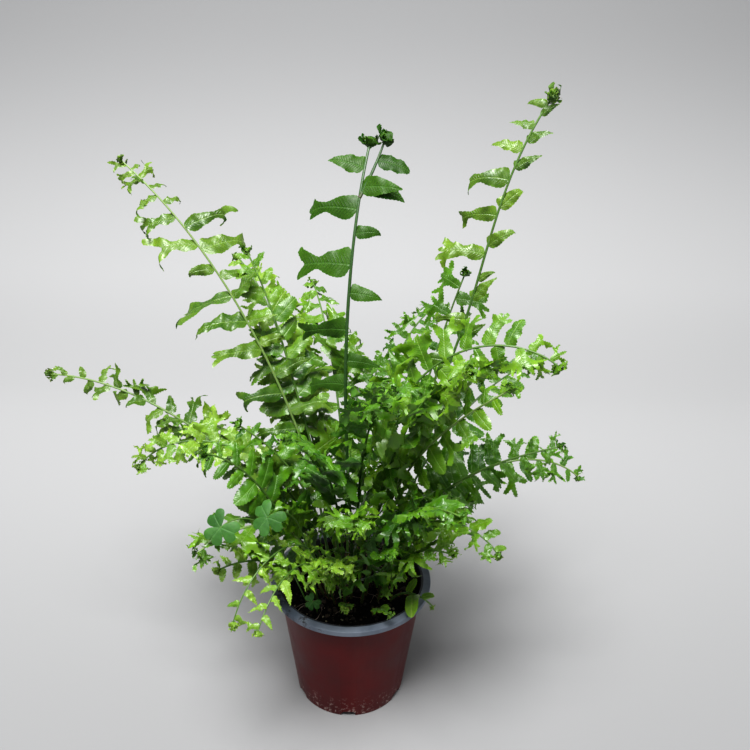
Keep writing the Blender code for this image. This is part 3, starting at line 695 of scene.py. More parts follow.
def joined_points(edge, inner):
    """The points that triangles inside an edge use, and the triangles, all facing the same way."""
    corners = [Vector(point) for point in np.vstack([edge, inner])]
    found = geometry.delaunay_2d_cdt(corners, [], [list(range(len(edge)))], 1, 1e-7)
    faces = np.array([face for face in found[2] if len(face) == 3])
    used, numbers = np.unique(faces, return_inverse=True)
    points = np.array([tuple(point) for point in found[0]])[used]
    triangles = numbers.reshape(-1, 3)
    a, b, c = (points[triangles[:, i]] for i in range(3))
    one, two = b - a, c - a
    turned = one[:, 0] * two[:, 1] - one[:, 1] * two[:, 0] < 0
    triangles[turned] = triangles[turned][:, ::-1]
    return points, triangles


def split_triangles(triangles, middles):
    """Splits triangles at middle points of their sides, in order from the first corner, with -1 for none."""
    found = []
    for corners, cuts in zip(triangles.tolist(), middles.tolist()):
        ring = [point for pair in zip(corners, cuts) for point in pair if point >= 0]
        start = ring.index(next(cut for cut in cuts if cut >= 0))
        ring = ring[start:] + ring[:start]
        found += [(ring[0], ring[i], ring[i + 1]) for i in range(1, len(ring) - 1)]
    return np.array(found, int).reshape(-1, 3)


def split_chords(points, triangles):
    """Splits inner sides that join two points of the outline, and says which points lie on the outline."""
    sides = np.sort(triangles[:, [0, 1, 1, 2, 2, 0]].reshape(-1, 2), axis=1)
    unique, back, counts = np.unique(sides, axis=0, return_inverse=True, return_counts=True)
    on_edge = np.zeros(len(points), bool)
    on_edge[unique[counts == 1].ravel()] = True
    chords = (counts == 2) & on_edge[unique].all(1)
    number = np.full(len(unique), -1)
    number[chords] = len(points) + np.arange(chords.sum())
    points = np.vstack([points, points[unique[chords]].mean(1)])
    on_edge = np.concatenate([on_edge, np.zeros(chords.sum(), bool)])
    middles = number[back.ravel()].reshape(-1, 3)
    whole = (middles < 0).all(1)
    triangles = np.vstack([triangles[whole], split_triangles(triangles[~whole], middles[~whole])])
    return points, triangles, on_edge


def flat_sheet(edge, veins, grid):
    """Splits the leaf inside its edge into triangles, with corners along its veins."""
    on_veins, lattice = inner_points(edge, veins, grid)
    points, triangles = joined_points(edge, np.vstack([on_veins, lattice]))
    points, triangles, on_edge = split_chords(points, triangles)
    on_vein = np.zeros(len(points), bool)
    if len(on_veins):
        on_vein = distances(points, on_veins) < SAME_PLACE
    return Sheet(points, triangles, on_edge, distances(points, edge), on_vein)


# Leaflets in space

LIGHT_WAY = np.array((-0.08, -0.42, 0.90))
MOST_LIGHT = 0.9
TIP_MARGIN = 0.01
LEAST_WIDTH = 0.0030
WIDTHS = (0.86, 1.12)
LENGTHS = (0.88, 1.14)
FORWARD_AT_TIP = 12.0
HOOK_CURL = 70.0
ROLLS = (-14.0, 22.0)
WAVES = (1.3, 3.2)
LIGHTS = (0.5, 1.3)
RUFFLED_LENGTH = 0.016
MOST_RUFFLE = 1.45

# Size along the rib: it swells up to a share of the way, then tapers
SWELL_END = 0.3
SWELL = 0.38
TAPER = 0.66
CLOSER_AT_TIP = 0.92


class Leaflet(NamedTuple):
    """Where a leaflet stands on its rib and how it is bent. Angles in degrees, lengths in metres."""

    share: float
    side: int
    form: str
    length: float
    width: float
    teeth: float = 0.0
    forward: float = 0.0
    rise: float = 0.0
    droop: float = 0.0
    curl: float = 0.0
    roll: float = 0.0
    twist: float = 0.0
    arch: float = 0.0
    ruffle: float = 0.0
    waves: float = 1.0
    phase: float = 0.0
    sickle: float = 0.0
    sag: float = 0.0
    level: float = 0.0
    light: float = 0.0
    age: float = 0.5


def new_leaflet(rng, style, share, side, form, length, way):
    """A leaflet of a style. Way is how far it stands between the first leaflet and the tip."""
    return Leaflet(
        share, side, form, length,
        width=max(length * style.width * rng.uniform(*WIDTHS), LEAST_WIDTH),
        teeth=style.teeth * MM,
        forward=rng.uniform(*style.forward) + FORWARD_AT_TIP * way,
        rise=rng.uniform(*style.rise),
        droop=rng.uniform(*style.droop),
        curl=rng.uniform(*style.curl) + (HOOK_CURL if form == "hook" else 0.0),
        roll=rng.uniform(*ROLLS),
        twist=rng.uniform(*style.twist),
        arch=rng.uniform(*style.arch) * MM,
        ruffle=rng.uniform(*style.ruffle) * MM * min(length / RUFFLED_LENGTH, MOST_RUFFLE),
        waves=rng.uniform(*WAVES),
        phase=rng.uniform(0.0, TURN),
        sickle=rng.uniform(*style.sickle),
        sag=style.sag,
        level=style.level,
        light=style.light * rng.uniform(*LIGHTS),
        age=1.0 - way,
    )


def chosen_leaflets(frond, rng, style):
    """The leaflets of a frond that are placed one by one."""
    plan = []
    for share, side, length, form in CHOSEN_LEAFLETS[frond.name]:
        leaflet = new_leaflet(rng, style, share, side, form, length * MM, share)
        if side < 0 and frond.name == FORWARD_FROND:
            leaflet = leaflet._replace(forward=leaflet.forward + RIGHT_FORWARD, level=0.0)
        plan.append(leaflet)
    return plan


def leaflet_plan(frond):
    """The leaflets of one frond, alternately to its left and right."""
    rng = random.Random(frond.name + " fine")
    style = STYLES[frond.style]
    if frond.name in CHOSEN_LEAFLETS:
        return chosen_leaflets(frond, rng, style)
    forms = list(style.forms)
    weights = list(style.forms.values())
    plan = []
    for i in range(frond.leaflets):
        way = (i + 0.5) / frond.leaflets
        share = frond.bare + (1.0 - frond.bare - TIP_MARGIN) * way**CLOSER_AT_TIP
        swell = 1.0 - SWELL + SWELL * math.sin(math.pi / 2 * min(way / SWELL_END, 1.0))
        taper = 1.0 - TAPER * max(0.0, (way - SWELL_END) / (1.0 - SWELL_END)) ** 1.5
        length = frond.leaflet_length * MM * swell * taper * rng.uniform(*LENGTHS)
        form = rng.choices(forms, weights)[0]
        plan.append(new_leaflet(rng, style, share, 1 if i % 2 else -1, form, length, way))
    return plan


def unit(vector):
    return vector / np.linalg.norm(vector)


def blade_axes(frame, leaflet):
    """The ways out along a leaflet, across it towards the rib's tip and off its upper face, at its foot."""
    side = np.array(frame.side) * leaflet.side
    rib = np.array(frame.along)
    forward = math.radians(leaflet.forward)
    out = side * math.cos(forward) + rib * math.sin(forward)
    out = unit(out - np.array(UP) * out[2] * leaflet.level)
    light = min(leaflet.light, MOST_LIGHT)
    off = np.array(frame.normal) * (1.0 - light) + LIGHT_WAY * light
    off = unit(off - out * (off @ out))
    across = np.cross(off, out)
    return out, across if across @ rib > 0 else -across, off


# How a leaflet bends. Shares are of its length or of its half width.
ARC_STEPS = 32
LONGEST_REACH = 1.5
CURL_START = 0.45
WIDEST = 1.7
CRINKLE = 0.2


def summed(rates, step):
    """The running sum of a rate, taken halfway between its values."""
    return running_sum((rates[1:] + rates[:-1]) / 2 * step)


def bent_points(frame, leaflet, flat):
    """Carries flat points of a leaflet to where it hangs, with the direction off the blade at each."""
    out, across, up = blade_axes(frame, leaflet)
    u = flat[:, 0] / leaflet.length
    grid = np.linspace(0.0, LONGEST_REACH, ARC_STEPS)
    late = np.clip((grid - CURL_START) / (1.0 - CURL_START), 0.0, None)
    angle = math.radians(leaflet.rise) - math.radians(leaflet.droop) * grid
    angle -= math.radians(leaflet.curl) * late**1.6
    step = grid[1] - grid[0]
    reach = np.interp(u, grid, summed(np.cos(angle), step))[:, None]
    climb = np.interp(u, grid, summed(np.sin(angle), step))[:, None]
    here = np.interp(u, grid, angle)[:, None]
    centre = np.array(frame.point) + out * rib_radius(leaflet.share) * 0.5
    centre = centre + (out * reach + up * climb) * leaflet.length
    normal = up * np.cos(here) - out * np.sin(here)
    roll = np.radians(leaflet.roll * np.clip(u * 3.0, 0.0, 1.0) + leaflet.twist * u)[:, None]
    width_way = across * np.cos(roll) + normal * np.sin(roll)
    thick_way = normal * np.cos(roll) - across * np.sin(roll)
    half = leaflet.width / 2
    y = flat[:, 1] + (leaflet.sickle - leaflet.sag * across[2]) * leaflet.length * u * u
    outness = np.clip(np.abs(flat[:, 1]) / half, 0.0, WIDEST)
    wave = np.sin(TURN * leaflet.waves * u + leaflet.phase + 0.9 * np.sign(flat[:, 1]))
    crinkle = np.sin(5.4 * math.pi * leaflet.waves * u + 2.3 * leaflet.phase + 1.9 * flat[:, 1] / half)
    w = leaflet.ruffle * (outness**1.6 * wave + CRINKLE * crinkle) * np.clip(u * 4.0, 0.0, 1.0)
    w -= leaflet.arch * (outness / 1.3) ** 2
    return centre + width_way * y[:, None] + thick_way * w[:, None], thick_way


# Finding a way between what already stands in the pot

POT_CLEARANCE = 0.0012
SLAB = 0.00035
LADDER = (0.06, 0.3, 0.6, 0.85, 1.0)
RUNG_REACH = 0.14
RUNG_WIDTH = 0.9
OFF_ANY_RIB = Vector((0.31, 0.77, 0.55))
BENDS = (0.0, 14.0, -14.0, 28.0, -28.0, 42.0, -42.0)
FORWARD_BEND = 0.3
SIZES = (1.0, 0.75)
MOST_CROSSINGS = 14


def ladder_tree(frame, leaflet, edge):
    """A closed search tree of the leaf's rough shape, to find out what it would cross, and its corners."""
    u = edge[:, 0] / leaflet.length
    rungs = []
    for stop in LADDER:
        near = np.abs(u - stop) < RUNG_REACH
        span = edge[near, 1] if near.any() else np.zeros(1)
        rungs += [(stop * leaflet.length, end * RUNG_WIDTH) for end in (span.min(), span.max())]
    points, away = bent_points(frame, leaflet, np.array(rungs))
    corners = [Vector(p) for p in np.vstack([points + away * SLAB, points - away * SLAB])]
    n = len(points)
    faces = [(0, 1, n + 1, n), (n - 1, n - 2, 2 * n - 2, 2 * n - 1)]
    for i in range(0, n - 2, 2):
        a, b, c, d = i, i + 1, i + 3, i + 2
        faces += [(a, d, c, b), (a + n, b + n, c + n, d + n), (a, a + n, d + n, d), (b, c, c + n, b + n)]
    return BVHTree.FromPolygons(corners, faces), points


def ring_faces(rings, sides, first=0):
    """The four-sided faces between rings of points that are numbered from the first."""
    faces = []
    for j, i in product(range(rings - 1), range(sides)):
        a, b = first + j * sides + i, first + j * sides + (i + 1) % sides
        faces.append((a, b, b + sides, a + sides))
    return faces


def tube_tree(points, half_width):
    """A search tree of a square tube round a rib."""
    corners = []
    for i, point in enumerate(points):
        along = (points[min(i + 1, len(points) - 1)] - points[max(i - 1, 0)]).normalized()
        side = along.cross(OFF_ANY_RIB).normalized() * half_width
        other = along.cross(side).normalized() * half_width
        corners += [point + side + other, point - side + other, point - side - other, point + side - other]
    return BVHTree.FromPolygons(corners, ring_faces(len(points), 4))


def clear_of_pot(point):
    """Whether a point keeps off the lip, the wall, the mix and the floor."""
    radius = math.hypot(point[0], point[1])
    if point[2] < POT_CLEARANCE:
        return False
    if radius > LIP_RADIUS + POT_CLEARANCE or point[2] > POT_HEIGHT + POT_CLEARANCE:
        return True
    return radius < MOUTH_RADIUS - 2 * POT_CLEARANCE and point[2] > soil_level(radius) + POT_CLEARANCE


class Growth:
    """What already stands in the pot, so that what grows next is bent clear of it."""

    def __init__(self):
        self.ribs = {}
        self.trees = []
        self.middles = np.zeros((0, 3))
        self.reaches = np.zeros(0)

    def add_rib(self, name, frames):
        self.ribs[name] = tube_tree([frame.point for frame in frames], RIB_RADIUS)

    def crossings(self, name, tree, middle, reach):
        """How many pairs of rough faces cross."""
        count = sum(len(tree.overlap(rib)) for owner, rib in self.ribs.items() if owner != name)
        apart = np.linalg.norm(self.middles - middle, axis=1)
        near = np.nonzero(apart < self.reaches + reach)[0]
        return count + sum(len(tree.overlap(self.trees[i])) for i in near)

    def place(self, name, frame, leaflet, edge):
        """The way of this leaflet that crosses the least, and its size, or None where none will do."""
        best = None
        for size, bend in product(SIZES, BENDS):
            attempt = leaflet._replace(
                rise=leaflet.rise + bend,
                forward=leaflet.forward + FORWARD_BEND * bend,
                length=leaflet.length * size,
                width=leaflet.width * size,
            )
            tree, corners = ladder_tree(frame, attempt, edge * size)
            if not all(clear_of_pot(point) for point in corners):
                continue
            middle = corners.mean(0)
            reach = np.linalg.norm(corners - middle, axis=1).max()
            crossed = self.crossings(name, tree, middle, reach)
            if best is None or crossed < best[0]:
                best = (crossed, attempt, size, tree, middle, reach)
            if not crossed:
                break
        if best is None or best[0] > MOST_CROSSINGS:
            return None
        _, attempt, size, tree, middle, reach = best
        self.trees.append(tree)
        self.middles = np.vstack([self.middles, middle])
        self.reaches = np.append(self.reaches, reach)
        return attempt, size


# Meshes

LEAF_SLOT = 0
RIB_SLOT = 1
SCALE_SLOT = 2
UNDERSIDE = 2.0
SHARP = 78.0


def new_object(name, data):
    obj = bpy.data.objects.new(name, data)
    bpy.context.scene.collection.objects.link(obj)
    return obj


class Shape:
    """Gathers the points and faces of one piece. Each point has a place on its leaf, and each face a tone."""

    def __init__(self):
        self.points = []
        self.places = []
        self.faces = []
        self.tones = []
        self.slots = []
        self.count = 0

    def add(self, points, places, faces, tones, slot):
        self.points.append(np.asarray(points, float))
        self.places.append(np.asarray(places, float))
        self.faces += [tuple(int(i) + self.count for i in face) for face in faces]
        self.tones += tones
        self.slots += [slot] * len(faces)
        self.count += len(points)

    def build(self, name, materials):
        mesh = bpy.data.meshes.new(name)
        mesh.from_pydata(np.vstack(self.points).tolist(), [], self.faces)
        places = np.vstack(self.places)[np.concatenate(self.faces)]
        tones = np.repeat(np.array(self.tones), [len(face) for face in self.faces], axis=0)
        for layer, values in (("leaf", places), ("tone", tones)):
            mesh.uv_layers.new(name=layer).uv.foreach_set("vector", values.ravel())
        mesh.polygons.foreach_set("material_index", self.slots)
        mesh.polygons.foreach_set("use_smooth", [True] * len(self.faces))
        for material in materials:
            mesh.materials.append(material)
        mesh.set_sharp_from_angle(angle=math.radians(SHARP))
        mesh.validate()
        return new_object(name, mesh)


# Leaf shells, in metres
BLADE_THICKNESS = 0.00034
EDGE_TAPER = 0.0009
LEAST_THICKNESS = 0.35
CREASE = 0.00016
GRID_LENGTH = 0.018
GRID_SIZES = (0.55, 1.1)


def add_leaf(shape, frame, leaflet, edge, veins, rng):
    """One leaf as a thin closed shell that comes to an edge all round, creased along its veins."""
    grid = GRID * min(max(leaflet.length / GRID_LENGTH, GRID_SIZES[0]), GRID_SIZES[1])
    sheet = flat_sheet(edge, veins, grid)
    points, away = bent_points(frame, leaflet, sheet.points)
    half = BLADE_THICKNESS / 2 * np.clip(sheet.depth / EDGE_TAPER, LEAST_THICKNESS, 1.0)
    points = points - away * (CREASE * sheet.on_vein)[:, None]
    inner = np.nonzero(~sheet.on_edge)[0]
    below = np.arange(len(points))
    below[inner] = len(points) + np.arange(len(inner))
    top = points + away * (half * ~sheet.on_edge)[:, None]
    bottom = points[inner] - away[inner] * half[inner][:, None]
    places = np.stack([sheet.points[:, 0] / leaflet.length, sheet.points[:, 1] / (leaflet.width / 2)], 1)
    out, across, off = blade_axes(frame, leaflet)
    mirrored = np.cross(out, across) @ off < 0.0
    upper = sheet.triangles[:, ::-1] if mirrored else sheet.triangles
    lower = below[upper[:, ::-1]]
    tone = rng.random()
    tones = [(tone, leaflet.age)] * len(upper) + [(tone + UNDERSIDE, leaflet.age)] * len(lower)
    places = np.vstack([places, places[inner]])
    shape.add(np.vstack([top, bottom]), places, np.vstack([upper, lower]), tones, LEAF_SLOT)


def add_tube(shape, frames, radii, shares, tone):
    """A round tapered stem with a groove along its upper side and closed ends."""
    points, places = [], []
    for frame, radius, share in zip(frames, radii, shares):
        for i in range(RIB_SIDES):
            angle = TURN * i / RIB_SIDES
            deep = GROOVE if i == 0 else 1.0
            way = frame.normal * math.cos(angle) + frame.side * math.sin(angle)
            points.append(tuple(frame.point + way * radius * deep))
            places.append((share, i / RIB_SIDES))
    ends = range(RIB_SIDES)
    last = len(points) - RIB_SIDES
    faces = ring_faces(len(frames), RIB_SIDES) + [tuple(ends)[::-1], tuple(last + i for i in ends)]
    shape.add(points, places, faces, [(tone, 0.0)] * len(faces), RIB_SLOT)


def with_foot(frames):
    """A stem's frames, with one more where its foot ends in the mix."""
    return [frames[0]._replace(point=frames[0].point - UP * FOOT_DEPTH)] + frames


def add_rib(shape, frames, thick, rng):
    shares = [i / (len(frames) - 1) for i in range(len(frames))]
    radii = [rib_radius(share) * thick * rng.uniform(*RIB_UNEVENNESS) for share in shares]
    add_tube(shape, frames, radii, shares, rng.random())


def add_scales(shape, frames, length, rng):
    """Thin brown scales that stand off the lowest stretch of a stem."""
    for _ in range(SCALES):
        height = SCALE_REACH * rng.random() ** 1.5
        frame = frame_at(frames, height / length)
        angle = rng.uniform(0.0, TURN)
        out = frame.normal * math.cos(angle) + frame.side * math.sin(angle)
        side = frame.along.cross(out)
        foot = frame.point + out * rib_radius(0.0) * 0.7
        size = rng.uniform(*SCALE_SIZES)
        tip = foot + (out * rng.uniform(*SCALE_LEANS) + frame.along).normalized() * size
        wide = side * size * SCALE_WIDTH
        points = [foot + wide, foot - wide, foot + frame.along * size * 0.2 - out * 0.0001, tip]
        faces = [(0, 1, 2), (0, 3, 1), (1, 3, 2), (2, 3, 0)]
        tones = [(rng.random(), 0.0)] * 4
        shape.add([tuple(p) for p in points], [(0.0, 0.0)] * 4, faces, tones, SCALE_SLOT)


# Crests, the curled leaves at the end of a rib. Angles in degrees, lengths in mm.


class Crest(NamedTuple):
    """How many leaves, in which forms by turns, and how much each curls."""

    leaves: int
    forms: tuple
    curl: tuple
    age: float


BALL = Crest(10, ("round", "crest", "round"), (10.0, 100.0), 0.25)
KNOB = Crest(6, ("fork", "crest", "crest"), (0.0, 90.0), 0.1)
BALL_SIZES = {
    "frond_tall_left": 3.4, "frond_tall_centre": 6.0, "frond_tall_right": 6.2, "frond_beside_tall": 4.8,
}
KNOB_SHARE = 0.22
LEAST_KNOB = 2.6
CREST_DEPTH = 0.012
CREST_LENGTHS = (0.75, 1.15)
CREST_WIDTH = 0.80


def crest_leaflets(frond, rng):
    """The small curled leaves that crowd the end of a rib, with how far each is turned round it."""
    kind = BALL if frond.name in BALL_SIZES else KNOB
    size = BALL_SIZES.get(frond.name, max(frond.leaflet_length * KNOB_SHARE, LEAST_KNOB)) * MM
    crest = []
    for i in range(kind.leaves):
        share = 1.0 - rng.uniform(0.0, CREST_DEPTH)
        leaflet = new_leaflet(rng, STYLES[frond.style], share, 1, "crest", size, 1.0)
        length = size * rng.uniform(*CREST_LENGTHS)
        leaflet = leaflet._replace(
            form=kind.forms[i % len(kind.forms)],
            length=length,
            width=length * CREST_WIDTH,
            teeth=0.14 * MM,
            forward=rng.uniform(-25.0, 25.0),
            rise=rng.uniform(-60.0, 30.0),
            droop=rng.uniform(70.0, 120.0),
            curl=rng.uniform(*kind.curl),
            arch=rng.uniform(0.0, 0.8) * MM,
            ruffle=0.5 * MM,
            sag=0.0,
            level=0.0,
            light=0.0,
            age=kind.age,
        )
        crest.append((leaflet, rng.uniform(0.0, 360.0)))
    return crest


def end_frame(frame, degrees):
    """A frame at the end of a rib whose leaves stand out from it and curl towards where it points."""
    turn = Matrix.Rotation(math.radians(degrees), 3, frame.along)
    return RibFrame(frame.point, turn @ frame.normal, turn @ frame.side, -frame.along)


class Branch(NamedTuple):
    """A rib that leaves another. Degrees say how far it turns aside where it starts and where it ends."""

    share: float
    aside: float
    end_aside: float
    length: float
    leaflets: tuple


BRANCHES = {
    "frond_tall_centre": (Branch(0.885, 20, 10, 29, ((0.24, -1, 20, "taper"), (0.66, -1, 16, "round"))),),
}


def branch_frames(frames, branch):
    """Frames along a branch, which lies in the plane of its frond's blade."""
    start = frame_at(frames, branch.share)
    point = start.point.copy()
    step = branch.length * MM / RIB_STEPS
    found = []
    for i in range(RIB_STEPS + 1):
        angle = math.radians(branch.aside + (branch.end_aside - branch.aside) * i / RIB_STEPS)
        along = start.along * math.cos(angle) - start.side * math.sin(angle)
        side = start.side * math.cos(angle) + start.along * math.sin(angle)
        found.append(RibFrame(point.copy(), along, side, start.normal))
        point += along * step
    return found


def add_blade(shape, frame, leaflet, growth, name, rng):
    """One leaflet where it crosses the least, or none where all its ways hit the pot."""
    outline, veins = leaf_outline(leaflet.form, leaflet.length, leaflet.width / 2, rng)
    edge = toothed_edge(outline, leaflet.teeth, leaflet.length, rng)
    found = growth.place(name, frame, leaflet, edge) if growth else (leaflet, 1.0)
    if found:
        placed, size = found
        veins = [[np.array(point) * size for point in vein] for vein in veins]
        add_leaf(shape, frame, placed, edge * size, veins, rng)


def add_crest(shape, frond, frames, rng):
    for leaflet, turn in crest_leaflets(frond, rng):
        add_blade(shape, end_frame(frame_at(frames, leaflet.share), turn), leaflet, None, frond.name, rng)


def make_frond(frond, frames, growth, materials):
    """One frond with its stem, scales, leaflets, crest and branches, as one piece."""
    rng = random.Random(frond.name + " mesh")
    shape = Shape()
    thick = THICK_STEMS.get(frond.name, 1.0)
    add_rib(shape, with_foot(frames), thick, rng)
    add_scales(shape, frames, frond.length * MM, rng)
    for leaflet in leaflet_plan(frond):
        add_blade(shape, frame_at(frames, leaflet.share), leaflet, growth, frond.name, rng)
    add_crest(shape, frond, frames, rng)
    for branch in BRANCHES.get(frond.name, ()):
        twig = branch_frames(frames, branch)
        add_rib(shape, twig, thick * TWIG_THICKNESS, rng)
        for share, side, length, form in branch.leaflets:
            leaflet = new_leaflet(rng, STYLES[frond.style], share, side, form, length * MM, share)
            add_blade(shape, frame_at(twig, share), leaflet, growth, frond.name, rng)
        add_crest(shape, frond, twig, rng)
    rib = materials[RIB_COLOURS.get(frond.name, "rib")]
    blade = materials["olive" if frond.name in OLIVE_FRONDS else frond.colour]
    piece = shape.build(frond.name + "_fine", [blade, rib, materials["scale"]])
    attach(piece, BODY)
    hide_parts(frond.name)


def facing_frame(frame, normal):
    """The frame turned to face a direction."""
    along = (frame.along - normal * frame.along.dot(normal)).normalized()
    return frame._replace(along=along, side=normal.cross(along), normal=normal)


def make_sorrel(sorrel, frames, materials):
    """One wood sorrel leaf with its stalk and three hearts, as one piece."""
    rng = random.Random(sorrel.name)
    shape = Shape()
    shares = [0.0] + [i / RIB_STEPS for i in range(RIB_STEPS + 1)]
    radii = [STALK_RADIUS * (1.0 - STALK_TAPER * share) for share in shares]
    add_tube(shape, with_foot(frames), radii, shares, 0.5)
    tip = facing_frame(frames[-1], SORREL_WAY)
    length = sorrel.leaflet_length * HEART_SIZE * MM
    for degrees in (0.0, HEARTS_APART, -HEARTS_APART):
        angle = math.radians(degrees)
        out = tip.along * math.cos(angle) + tip.side * math.sin(angle)
        across = tip.side * math.cos(angle) - tip.along * math.sin(angle)
        heart = Leaflet(
            1.0, 1, "heart", length, length * HEART_WIDTH,
            rise=rng.uniform(-6.0, 10.0),
            droop=rng.uniform(14.0, 34.0),
            roll=rng.uniform(-8.0, 8.0),
            twist=rng.uniform(-8.0, 8.0),
            arch=rng.uniform(0.6, 1.1) * MM,
            ruffle=0.2 * MM,
            phase=rng.uniform(0.0, 6.0),
        )
        add_blade(shape, RibFrame(tip.point, across, out, tip.normal), heart, None, sorrel.name, rng)
    piece = shape.build(sorrel.name + "_fine", [materials["sorrel"], materials["stalk"]])
    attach(piece, BODY)
    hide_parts(sorrel.name)


# Pot and mix


def keep_shape(obj):
    """Applies the modifiers."""
    evaluated = obj.evaluated_get(bpy.context.evaluated_depsgraph_get())
    mesh = bpy.data.meshes.new_from_object(evaluated)
    obj.modifiers.clear()
    obj.data = mesh


def turned(name, profile, sides):
    """A turned solid from a profile of (radius, height) that runs up the inside and down the outside."""
    mesh = bpy.data.meshes.new(name)
    edges = [(i, i + 1) for i in range(len(profile) - 1)]
    mesh.from_pydata([(radius, 0.0, height) for radius, height in profile], edges, [])
    obj = new_object(name, mesh)
    screw = obj.modifiers.new("Turn", "SCREW")
    screw.axis = "Z"
    screw.steps = sides
    screw.render_steps = sides
    screw.use_merge_vertices = True
    screw.merge_threshold = 0.00001
    return obj


def rounded(corners, radius, steps=4):
    """Turns each inner corner of a profile into a small arc."""
    out = [corners[0]]
    for before, here, after in zip(corners, corners[1:], corners[2:]):
        p, q, r = (Vector(point) for point in (before, here, after))
        reach = min(radius, (q - p).length / 2.2, (r - q).length / 2.2)
        start = q + (p - q).normalized() * reach
        end = q + (r - q).normalized() * reach
        for i in range(steps + 1):
            t = i / steps
            out.append(tuple(start * (1 - t) ** 2 + q * 2 * t * (1 - t) + end * t**2))
    return out + [corners[-1]]


def drain_cutter(angle):
    """A rounded block that cuts one slot through the pot's bottom edge."""
    bm = bmesh.new()
    bmesh.ops.create_cube(bm, size=1.0)
    bmesh.ops.scale(bm, vec=DRAIN_SLOT_SIZE, verts=bm.verts)
    bmesh.ops.bevel(bm, geom=bm.edges[:], offset=DRAIN_SLOT_ROUND, segments=3, affect="EDGES")
    mesh = bpy.data.meshes.new("drain_cutter")
    bm.to_mesh(mesh)
    bm.free()
    cutter = bpy.data.objects.new("drain_cutter", mesh)
    place = Matrix.Translation((*polar(BASE_RADIUS, angle), 0.0))
    cutter.matrix_world = place @ Matrix.Rotation(angle, 4, "Z")
    return cutter


def make_pot(material):
    """A thin-walled pot with a turned-down lip and slots through its bottom edge."""
    lip_inside = LIP_RADIUS - LIP_EDGE_THICKNESS
    corners = [
        (0.0, FLOOR_THICKNESS),
        (BASE_RADIUS - POT_WALL, FLOOR_THICKNESS),
        (MOUTH_RADIUS, POT_HEIGHT),
        (LIP_RADIUS, POT_HEIGHT),
        (LIP_RADIUS, LIP_END),
        (lip_inside, LIP_END),
        (lip_inside, LIP_UNDER),
        (MOUTH_RADIUS + POT_WALL, LIP_UNDER),
        (BASE_RADIUS, 0.0),
        (0.0, 0.0),
    ]
    pot = turned("pot_fine", rounded(corners, LIP_ROUND), POT_SIDES)
    cutters = bpy.data.collections.new("drain_cutters")
    for i in range(DRAIN_SLOTS):
        cutters.objects.link(drain_cutter(TURN * (i + 0.5) / DRAIN_SLOTS))
    cut = pot.modifiers.new("Cut", "BOOLEAN")
    cut.operation = "DIFFERENCE"
    cut.operand_type = "COLLECTION"
    cut.collection = cutters
    keep_shape(pot)
    for cutter in list(cutters.objects):
        bpy.data.objects.remove(cutter, do_unlink=True)
    bpy.data.collections.remove(cutters)
    pot.data.materials.clear()
    pot.data.materials.append(material)
    pot.data.shade_smooth()
    pot.data.set_sharp_from_angle(angle=math.radians(POT_SHARP))
    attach(pot, BODY)
    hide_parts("pot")


def inner_wall_radius(height):
    share = (height - FLOOR_THICKNESS) / (POT_HEIGHT - FLOOR_THICKNESS)
    return BASE_RADIUS - POT_WALL + (MOUTH_RADIUS - BASE_RADIUS + POT_WALL) * share


def crumbly_level(radius, x, y):
    """Height of the mix with its crumbs."""
    bumps = sum(size * noise.noise((x * scale, y * scale, 3.7)) for scale, size in SOIL_LUMPS)
    return soil_level(radius) + bumps


def circle(radius):
    return [polar(radius, TURN * i / SOIL_SIDES) for i in range(SOIL_SIDES)]


def make_soil(material):
    """The mix, from the floor of the pot up to its crumbly mound."""
    edge = inner_wall_radius(SOIL_EDGE_LEVEL) - SOIL_GAP
    floor = FLOOR_THICKNESS + SOIL_GAP
    points = [(0.0, 0.0, soil_level(0.0))]
    for j in range(1, SOIL_RINGS + 1):
        radius = edge * j / SOIL_RINGS
        points += [(x, y, crumbly_level(radius, x, y)) for x, y in circle(radius)]
    points += [(x, y, floor) for x, y in circle(inner_wall_radius(floor) - SOIL_GAP)]
    faces = [(0, 1 + i, 1 + (i + 1) % SOIL_SIDES) for i in range(SOIL_SIDES)]
    faces += [(a, d, c, b) for a, b, c, d in ring_faces(SOIL_RINGS + 1, SOIL_SIDES, 1)]
    faces.append(tuple(range(len(points) - SOIL_SIDES, len(points)))[::-1])
    mesh = bpy.data.meshes.new("soil_fine")
    mesh.from_pydata(points, [], faces)
    mesh.materials.append(material)
    mesh.shade_smooth()
    soil = new_object("soil_fine", mesh)
    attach(soil, BODY)
    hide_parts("soil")


def make_lumps(name, count, sizes, material, seed):
    """Small uneven lumps that lie sunk in the mix."""
    rng = random.Random(seed)
    reach = inner_wall_radius(SOIL_EDGE_LEVEL) - LUMP_MARGIN
    scale, depth = LUMP_DENTS
    noise.seed_set(DENT_SEED)
    bm = bmesh.new()
    for _ in range(count):
        radius = reach * math.sqrt(rng.random())
        x, y = polar(radius, rng.uniform(0.0, TURN))
        size = sizes[0] + (sizes[1] - sizes[0]) * rng.random() ** 2.5
        turn = Matrix.Rotation(rng.uniform(0.0, math.pi), 4, (rng.random(), rng.random(), rng.random() + 0.1))
        stretch = Matrix.Diagonal((size, size * rng.uniform(0.6, 1.0), size * LUMP_SQUASH, 1.0))
        place = Matrix.Translation((x, y, crumbly_level(radius, x, y) + size * LUMP_LIFT)) @ turn @ stretch
        lump = bmesh.ops.create_icosphere(bm, subdivisions=1, radius=1.0, matrix=place)
        for vertex in lump["verts"]:
            vertex.co += noise.noise_vector(vertex.co * scale) * size * depth
    mesh = bpy.data.meshes.new(name)
    bm.to_mesh(mesh)
    bm.free()
    mesh.materials.append(material)
    obj = new_object(name, mesh)
    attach(obj, BODY)


